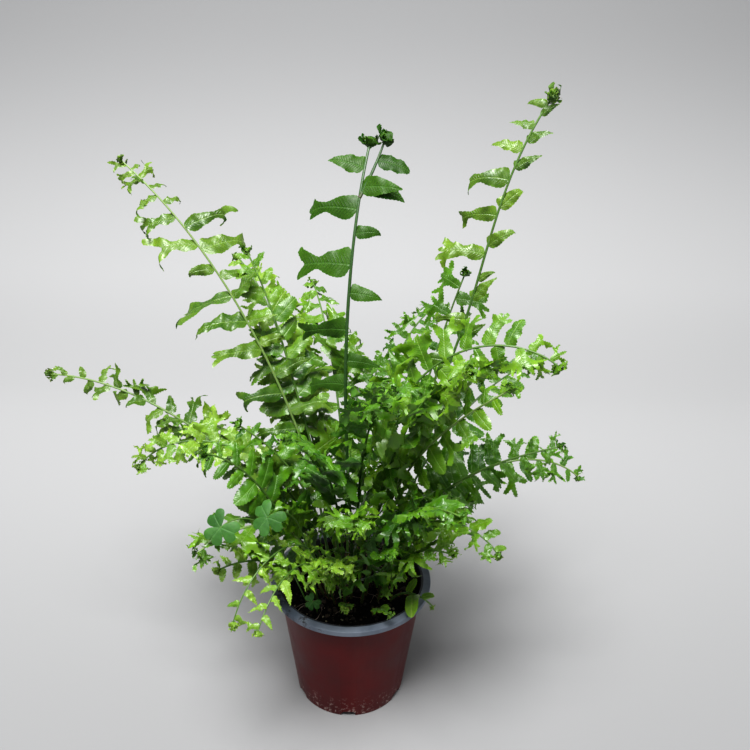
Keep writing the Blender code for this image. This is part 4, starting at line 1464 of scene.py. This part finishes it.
def make_roots(material):
    """Fine pale roots that run over the mix."""
    rng = random.Random("roots")
    shape = Shape()
    limit = inner_wall_radius(SOIL_EDGE_LEVEL) - ROOT_MARGIN
    for _ in range(ROOTS):
        x, y = polar(rng.uniform(*ROOT_STARTS), rng.uniform(0.0, TURN))
        heading = rng.uniform(0.0, TURN)
        frames = []
        for i in range(ROOT_STEPS):
            heading += rng.uniform(-ROOT_SWERVE, ROOT_SWERVE)
            x += ROOT_STEP * math.cos(heading)
            y += ROOT_STEP * math.sin(heading)
            radius = math.hypot(x, y)
            if radius > limit:
                break
            lift = ROOT_LIFT * math.sin(math.pi * i / ROOT_STEPS)
            along = Vector((math.cos(heading), math.sin(heading), 0.0))
            side = Vector((-along.y, along.x, 0.0))
            frames.append(RibFrame(Vector((x, y, crumbly_level(radius, x, y) + lift)), along, side, UP))
        if len(frames) > LEAST_ROOT_STEPS:
            shares = [i / ROOT_STEPS for i in range(len(frames))]
            add_tube(shape, frames, [ROOT_RADIUS] * len(frames), shares, rng.random())
    piece = shape.build("surface_roots", [material, material])
    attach(piece, BODY)


# Materials


class Shader:
    """A material with short ways to add to its node tree."""

    def __init__(self, name):
        self.material = bpy.data.materials.new(name)
        self.material.use_nodes = True
        self.tree = self.material.node_tree
        self.surface = self.tree.nodes["Principled BSDF"]

    def put(self, socket, value):
        """Sets or links a socket."""
        if isinstance(value, bpy.types.NodeSocket):
            self.tree.links.new(value, socket)
        elif isinstance(value, tuple) and len(value) == 3 and socket.type == "RGBA":
            socket.default_value = (*value, 1.0)
        else:
            socket.default_value = value

    def node(self, kind, inputs=(), **settings):
        """A new node. Its inputs are given as a dict, or in a row from the first."""
        node = self.tree.nodes.new(kind)
        for key, value in settings.items():
            setattr(node, key, value)
        for key, value in inputs.items() if isinstance(inputs, dict) else enumerate(inputs):
            self.put(node.inputs[key], value)
        return node

    def math(self, operation, *values):
        return self.node("ShaderNodeMath", values, operation=operation).outputs[0]

    def times(self, a, b):
        return self.math("MULTIPLY", a, b)

    def plus(self, total, *values):
        for value in values:
            total = self.math("ADD", total, value)
        return total

    def mix(self, share, a, b):
        return self.node("ShaderNodeMix", {0: share, 6: a, 7: b}, data_type="RGBA").outputs[2]

    def spread(self, value, low, high, to_low=0.0, to_high=1.0, way="LINEAR"):
        """Carries a range of values onto another and holds its ends."""
        numbers = (value, low, high, to_low, to_high)
        return self.node("ShaderNodeMapRange", numbers, clamp=True, interpolation_type=way).outputs[0]

    def noise(self, scale, detail=3.0, roughness=0.5, vector=None):
        inputs = {"Vector": vector or self.place(), "Scale": scale, "Detail": detail, "Roughness": roughness}
        return self.node("ShaderNodeTexNoise", inputs).outputs["Fac"]

    def place(self):
        """The point's place on the object."""
        return self.node("ShaderNodeTexCoord").outputs["Object"]

    def split(self, vector):
        return self.node("ShaderNodeSeparateXYZ", (vector,)).outputs

    def layer(self, name):
        return self.split(self.node("ShaderNodeUVMap", uv_map=name).outputs[0])

    def bump(self, height, strength, distance):
        node = self.node("ShaderNodeBump", {"Height": height, "Strength": strength, "Distance": distance})
        self.put(self.surface.inputs["Normal"], node.outputs[0])

    def finish(self, **inputs):
        for key, value in inputs.items():
            self.put(self.surface.inputs[key.replace("_", " ")], value)
        return self.material


# Colours of a leaf: dark, light, below and vein
# The bright, fresh, middle, olive and deep greens are lit and shaded copies of one leaf colour: bright is
# partly painted light and deep is painted shade, besides the fronds' own younger and older greens
LIT_BRIGHT_LEAF = ((0.046, 0.140, 0.004), (0.205, 0.345, 0.030), (0.100, 0.208, 0.020), (0.280, 0.420, 0.070))
FRESH_LEAF = ((0.023, 0.102, 0.002), (0.130, 0.262, 0.010), (0.068, 0.166, 0.016), (0.190, 0.330, 0.055))
MIDDLE_LEAF = ((0.012, 0.078, 0.0015), (0.092, 0.226, 0.007), (0.046, 0.140, 0.014), (0.135, 0.280, 0.044))
OLIVE_LEAF = ((0.020, 0.074, 0.003), (0.126, 0.222, 0.014), (0.062, 0.138, 0.022), (0.165, 0.285, 0.050))
SHADED_DEEP_LEAF = ((0.012, 0.046, 0.003), (0.040, 0.108, 0.006), (0.028, 0.085, 0.014), (0.055, 0.140, 0.022))
SORREL_LEAF = ((0.020, 0.086, 0.012), (0.048, 0.150, 0.024), (0.060, 0.150, 0.040), (0.080, 0.200, 0.050))

# Colours of a stem: dark, light and tip
GREEN_STEM = ((0.028, 0.085, 0.010), (0.070, 0.160, 0.022), (0.120, 0.220, 0.040))
# The deep stem green is painted shade on the tall centre frond's stem
SHADED_DEEP_STEM = ((0.012, 0.045, 0.006), (0.024, 0.075, 0.012), (0.040, 0.095, 0.022))
PALE_STEM = ((0.080, 0.160, 0.032), (0.150, 0.240, 0.060), (0.220, 0.320, 0.100))
STEM_FOOT = (0.06, 0.05, 0.018)

# Dark and light colours of other things
SCALE_BROWN = ((0.09, 0.045, 0.018), (0.26, 0.15, 0.06))
POT_RED = ((0.070, 0.0022, 0.0030), (0.115, 0.0060, 0.0068))
# The lip's grey-blue is painted reflection of the sky on its dark plastic
LIP_SKY_SHEEN = ((0.085, 0.105, 0.138), (0.190, 0.218, 0.262))
# The mix's browns are its own dark tone deepened with painted shade
MIX_BROWN_AND_SHADE = ((0.0010, 0.0008, 0.0007), (0.0045, 0.0034, 0.0025))
CLOD_BROWN = ((0.005, 0.004, 0.003), (0.035, 0.022, 0.012))
PERLITE_CREAM = ((0.10, 0.08, 0.045), (0.42, 0.38, 0.27))
ROOT_BROWN = ((0.08, 0.06, 0.045), (0.26, 0.21, 0.17))

# Where marks lie on the pot: from none to most, upwards or to the side, in metres
LIME_HEIGHTS = (0.016, 0.003)
GRIME_SIDE = (-0.005, -0.040)
LIP_START = (LIP_END - 0.0003, LIP_END + 0.0001)
# How far the black inside reaches onto the lip's top: that strip is painted shade on the ring's inner edge
INSIDE_AND_SHADE_MARGIN = 0.0007

# Marks on the pot and fibres in the mix
# The pink streaks are partly scuffs and partly painted sheen
SCUFF_AND_SHEEN_PINK = (0.20, 0.09, 0.075)
LIME_WHITE = (0.55, 0.42, 0.38)
FLECK_BLACK = (0.012, 0.009, 0.007)
INSIDE_BLACK = (0.012, 0.011, 0.012)
GRIME_BROWN = (0.018, 0.014, 0.009)
FIBRE_BROWN = (0.04, 0.028, 0.016)


def leaf_material(name, dark, light, under, vein, gloss=0.37, specular=0.56):
    """A green blade: paler below, with a pale midrib, slanting side veins and uneven tone."""
    s = Shader(name)
    u, v, _ = s.layer("leaf")
    tone, age, _ = s.layer("tone")
    is_under = s.math("GREATER_THAN", tone, UNDERSIDE - 0.5)
    tone = s.math("SUBTRACT", tone, s.times(is_under, UNDERSIDE))
    off = s.math("ABSOLUTE", v)
    lightness = s.plus(
        s.times(tone, 0.60),
        s.spread(s.noise(160.0, 4.0, 0.6), 0.35, 0.65, 0.0, 0.30),
        s.spread(u, 0.5, 1.1, 0.0, 0.22),
        s.spread(age, 0.0, 0.5, 0.16, 0.0),
        s.spread(off, 0.70, 1.05, 0.0, 0.14),
    )
    colour = s.mix(lightness, dark, light)
    slant = s.math("SUBTRACT", s.times(u, 15.0), s.times(off, 2.4))
    wobble = s.times(s.noise(420.0, 2.0), 0.9)
    ridge = s.math("SINE", s.times(s.plus(slant, wobble), TURN))
    side_vein = s.times(s.spread(ridge, 0.55, 1.0), s.spread(off, 0.85, 0.3))
    midrib = s.spread(off, 0.10, 0.03)
    colour = s.mix(s.times(is_under, 0.60), colour, under)
    colour = s.mix(s.times(side_vein, 0.40), colour, dark)
    colour = s.mix(s.times(midrib, 0.45), colour, vein)
    height = s.plus(s.times(side_vein, 0.6), s.times(midrib, -0.8), s.times(s.noise(900.0, 2.0), 0.5))
    s.bump(height, 0.60, 0.00026)
    rough = s.spread(s.noise(300.0), 0.3, 0.7, gloss - 0.08, gloss + 0.10)
    return s.finish(
        Base_Color=colour,
        Roughness=s.plus(rough, s.times(is_under, 0.15)),
        Subsurface_Weight=0.20,
        Subsurface_Radius=(0.35, 0.8, 0.06),
        Subsurface_Scale=0.0008,
        Specular_IOR_Level=specular,
    )


def rib_material(name, dark, light, tip):
    """A green stem, streaked along, paler at its tip and brown at its foot."""
    s = Shader(name)
    share, _, _ = s.layer("leaf")
    tone, _, _ = s.layer("tone")
    green = s.mix(tone, dark, light)
    streak = s.noise(700.0, 3.0)
    green = s.mix(s.spread(streak, 0.45, 0.7, 0.0, 0.5), green, tip)
    green = s.mix(s.spread(share, 0.5, 1.0, 0.0, 0.5), green, tip)
    colour = s.mix(s.spread(share, 0.10, 0.0), green, STEM_FOOT)
    s.bump(streak, 0.4, 0.0002)
    return s.finish(
        Base_Color=colour,
        Roughness=s.spread(streak, 0.3, 0.7, 0.38, 0.55),
        Subsurface_Weight=0.10,
        Subsurface_Scale=0.001,
    )


def scale_material():
    s = Shader("scale")
    tone, _, _ = s.layer("tone")
    rough = s.spread(s.noise(600.0), 0.3, 0.7, 0.5, 0.75)
    return s.finish(Base_Color=s.mix(tone, *SCALE_BROWN), Roughness=rough)


def pot_material():
    """Brick red plastic, with a grey-blue lip that is painted reflection of the sky, splashed mix and white
    lime near the base.
    """
    s = Shader("pot_plastic")
    x, y, z = s.split(s.place())
    radius = s.math("SQRT", s.plus(s.times(x, x), s.times(y, y)))
    haze = s.noise(38.0, 5.0, 0.6)
    red = s.mix(s.spread(haze, 0.35, 0.7), *POT_RED)
    # Pale pink vertical streaks: partly scuffs, partly painted sheen
    streaks = s.node("ShaderNodeVectorMath", (s.place(), (1.0, 1.0, 0.12)), operation="MULTIPLY").outputs[0]
    scuffs_and_sheen = s.noise(16.0, 6.0, 0.7, streaks)
    red = s.mix(s.spread(scuffs_and_sheen, 0.58, 0.78, 0.0, 0.16), red, SCUFF_AND_SHEEN_PINK)
    spots = s.noise(430.0, 4.0, 0.75)
    low = s.spread(z, *LIME_HEIGHTS)
    lime = s.times(s.spread(spots, 0.56, 0.64), low)
    red = s.mix(s.times(lime, 0.75), red, LIME_WHITE)
    red = s.mix(s.spread(s.noise(900.0, 2.0), 0.74, 0.80, 0.0, 0.7), red, FLECK_BLACK)
    wall = s.spread(z, 0.0, POT_HEIGHT, BASE_RADIUS - POT_WALL / 2, MOUTH_RADIUS + POT_WALL / 2)
    # Black inner layer inside the pot, carried onto the lip's inner edge as painted shade
    inner = s.math("LESS_THAN", radius, s.plus(wall, s.spread(z, LIP_UNDER, POT_HEIGHT, 0.0, INSIDE_AND_SHADE_MARGIN)))
    # Painted reflection of the sky on the lip's top
    grey = s.mix(s.spread(s.noise(60.0, 5.0), 0.35, 0.65), *LIP_SKY_SHEEN)
    on_lip = s.spread(z, *LIP_START)
    colour = s.mix(s.times(inner, 0.85), s.mix(on_lip, red, grey), INSIDE_BLACK)
    left = s.spread(x, *GRIME_SIDE)
    dirt = s.spread(s.noise(240.0, 6.0, 0.7), s.spread(left, 0.0, 1.0, 0.66, 0.43), 0.66)
    grime = s.times(dirt, on_lip)
    colour = s.mix(grime, colour, GRIME_BROWN)
    s.bump(s.plus(s.times(spots, lime), s.times(s.noise(120.0, 4.0), 0.12)), 0.5, 0.0006)
    worn = s.times(s.math("MAXIMUM", lime, grime), 0.35)
    rough = s.plus(s.spread(haze, 0.3, 0.7, 0.34, 0.50), worn)
    return s.finish(Base_Color=colour, Roughness=rough, Specular_IOR_Level=0.20)


def soil_material():
    """Nearly black mix with brown fibres: its own dark brown deepened with painted shade."""
    s = Shader("potting_mix")
    fine = s.noise(1400.0, 5.0, 0.7)
    patch = s.noise(160.0, 4.0)
    colour = s.mix(s.spread(patch, 0.3, 0.7), *MIX_BROWN_AND_SHADE)
    colour = s.mix(s.spread(fine, 0.64, 0.76, 0.0, 0.5), colour, FIBRE_BROWN)
    s.bump(s.plus(fine, s.times(patch, 0.6)), 0.9, 0.0012)
    rough = s.spread(patch, 0.3, 0.7, 0.75, 1.0)
    return s.finish(Base_Color=colour, Roughness=rough, Specular_IOR_Level=0.10)


def crumb_material(name, dark, light):
    """Uneven matt crumbs between two tones."""
    s = Shader(name)
    tone = s.noise(450.0, 3.0, 0.6)
    colour = s.mix(s.spread(tone, 0.35, 0.65), dark, light)
    s.bump(s.noise(1800.0, 3.0), 0.6, 0.0003)
    return s.finish(Base_Color=colour, Roughness=s.spread(tone, 0.3, 0.7, 0.7, 0.95))


def make_materials():
    return {
        # Blade greens per frond: the bright one partly painted light, the deep one painted shade
        "bright": leaf_material("bright_blade", *LIT_BRIGHT_LEAF),
        "fresh": leaf_material("fresh_blade", *FRESH_LEAF),
        "middle": leaf_material("middle_blade", *MIDDLE_LEAF),
        "olive": leaf_material("olive_blade", *OLIVE_LEAF),
        "deep": leaf_material("deep_blade", *SHADED_DEEP_LEAF, gloss=0.46, specular=0.22),
        "sorrel": leaf_material("sorrel_blade", *SORREL_LEAF, gloss=0.55, specular=0.35),
        "rib": rib_material("rib", *GREEN_STEM),
        "deep_rib": rib_material("deep_rib", *SHADED_DEEP_STEM),
        "pale_rib": rib_material("pale_rib", *PALE_STEM),
        "stalk": rib_material("stalk", *GREEN_STEM),
        "scale": scale_material(),
        "pot": pot_material(),
        "soil": soil_material(),
        "clod": crumb_material("clod", *CLOD_BROWN),
        "perlite": crumb_material("perlite", *PERLITE_CREAM),
        "root": crumb_material("root", *ROOT_BROWN),
    }


# Stage, light and camera. Lengths in metres.

# Backdrop greys with painted light and shade: palest at the bend, darker on the near floor and up the wall
NEAR_COLOUR = (0.26, 0.26, 0.262)
FAR_COLOUR = (0.45, 0.45, 0.452)
BEND_COLOUR = (0.49, 0.49, 0.492)
WALL_COLOUR = (0.34, 0.34, 0.343)
CLOUD_COLOUR = (0.35, 0.35, 0.36)
SWEEP_FRONT = -1.6
SWEEP_START = 0.40
SWEEP_RADIUS = 0.55
SWEEP_STEPS = 24
SWEEP_TOP = 1.7
SWEEP_HALF_WIDTH = 2.4
FLOOR_FADE = (-0.18, 0.40)
BEND_FADE = (0.0, 0.06)
WALL_FADE = (0.05, 0.42)
SKY_COLOUR = (0.96, 0.98, 1.0, 1.0)
SKY_STRENGTH = 0.33
KEY_PLACE = Vector((-0.12, -0.42, 1.35))
KEY_AIM = Vector((0.0, 0.0, 0.12))
KEY_SIZE = 0.65
KEY_POWER = 32.0


def studio_material():
    """Matt backdrop with painted light: palest where the floor bends up into the wall, darker on the near
    floor and up the wall.
    """
    s = Shader("backdrop_paint")
    _, y, z = s.split(s.place())
    # Painted light across the floor, the bend and the wall
    colour = s.mix(s.spread(y, *FLOOR_FADE, way="SMOOTHSTEP"), NEAR_COLOUR, FAR_COLOUR)
    colour = s.mix(s.spread(z, *BEND_FADE, way="SMOOTHSTEP"), colour, BEND_COLOUR)
    colour = s.mix(s.spread(z, *WALL_FADE, way="SMOOTHSTEP"), colour, WALL_COLOUR)
    colour = s.mix(s.spread(s.noise(3.0, 2.0), 0.3, 0.7, 0.0, 0.05), colour, CLOUD_COLOUR)
    return s.finish(Base_Color=colour, Roughness=0.9, Specular_IOR_Level=0.1)


def make_stage():
    """A pale floor that sweeps up into a wall behind the plant."""
    profile = [(SWEEP_FRONT, 0.0), (SWEEP_START, 0.0)]
    for i in range(1, SWEEP_STEPS + 1):
        angle = math.pi / 2 * i / SWEEP_STEPS
        profile.append((SWEEP_START + SWEEP_RADIUS * math.sin(angle), SWEEP_RADIUS * (1.0 - math.cos(angle))))
    profile.append((SWEEP_START + SWEEP_RADIUS, SWEEP_TOP))
    points = [(x, y, z) for y, z in profile for x in (-SWEEP_HALF_WIDTH, SWEEP_HALF_WIDTH)]
    faces = [(2 * i, 2 * i + 1, 2 * i + 3, 2 * i + 2) for i in range(len(profile) - 1)]
    mesh = bpy.data.meshes.new("backdrop")
    mesh.from_pydata(points, [], faces)
    mesh.materials.append(studio_material())
    mesh.shade_smooth()
    new_object("backdrop", mesh)


def make_light():
    """An even pale sky and one soft lamp above the front."""
    world = bpy.data.worlds.new("studio")
    world.use_nodes = True
    background = world.node_tree.nodes["Background"]
    background.inputs["Color"].default_value = SKY_COLOUR
    background.inputs["Strength"].default_value = SKY_STRENGTH
    bpy.context.scene.world = world
    light = bpy.data.lights.new("key", "AREA")
    light.shape = "DISK"
    light.size = KEY_SIZE
    light.energy = KEY_POWER
    obj = new_object("key", light)
    obj.location = KEY_PLACE
    obj.rotation_euler = (KEY_AIM - KEY_PLACE).to_track_quat("-Z", "Y").to_euler()


def make_camera():
    data = bpy.data.cameras.new("camera")
    data.sensor_fit = "HORIZONTAL"
    data.sensor_width = SENSOR_WIDTH
    data.lens = SENSOR_WIDTH * FOCAL_PIXELS / PICTURE_PIXELS
    data.clip_start = NEAREST_SEEN
    camera = new_object("camera", data)
    tilt = Matrix.Rotation(math.radians(90.0 - PITCH), 4, "X")
    roll = Matrix.Rotation(math.radians(ROLL), 4, "Z")
    camera.matrix_world = Matrix.Translation(EYE) @ tilt @ roll
    bpy.context.scene.camera = camera


def main():
    bpy.context.scene.view_settings.view_transform = "Standard"
    bpy.context.scene.view_settings.look = "Medium High Contrast"
    make_camera()
    make_light()
    make_stage()
    materials = make_materials()
    make_pot(materials["pot"])
    make_soil(materials["soil"])
    for name, count, sizes, material, seed in LUMPS:
        make_lumps(name, count, sizes, materials[material], seed)
    make_roots(materials["root"])
    growth = Growth()
    for sorrel in SORRELS:
        frames = rib_frames(sorrel, STALK_BEND, 0.0, 0.0)
        growth.add_rib(sorrel.name, frames)
        make_sorrel(sorrel, frames, materials)
    ribs = [rib_frames(frond, frond.bend, frond.wave, frond.twist) for frond in FRONDS]
    for frond, frames in zip(FRONDS, ribs):
        growth.add_rib(frond.name, frames)
    for frond, frames in zip(FRONDS, ribs):
        make_frond(frond, frames, growth, materials)


main()
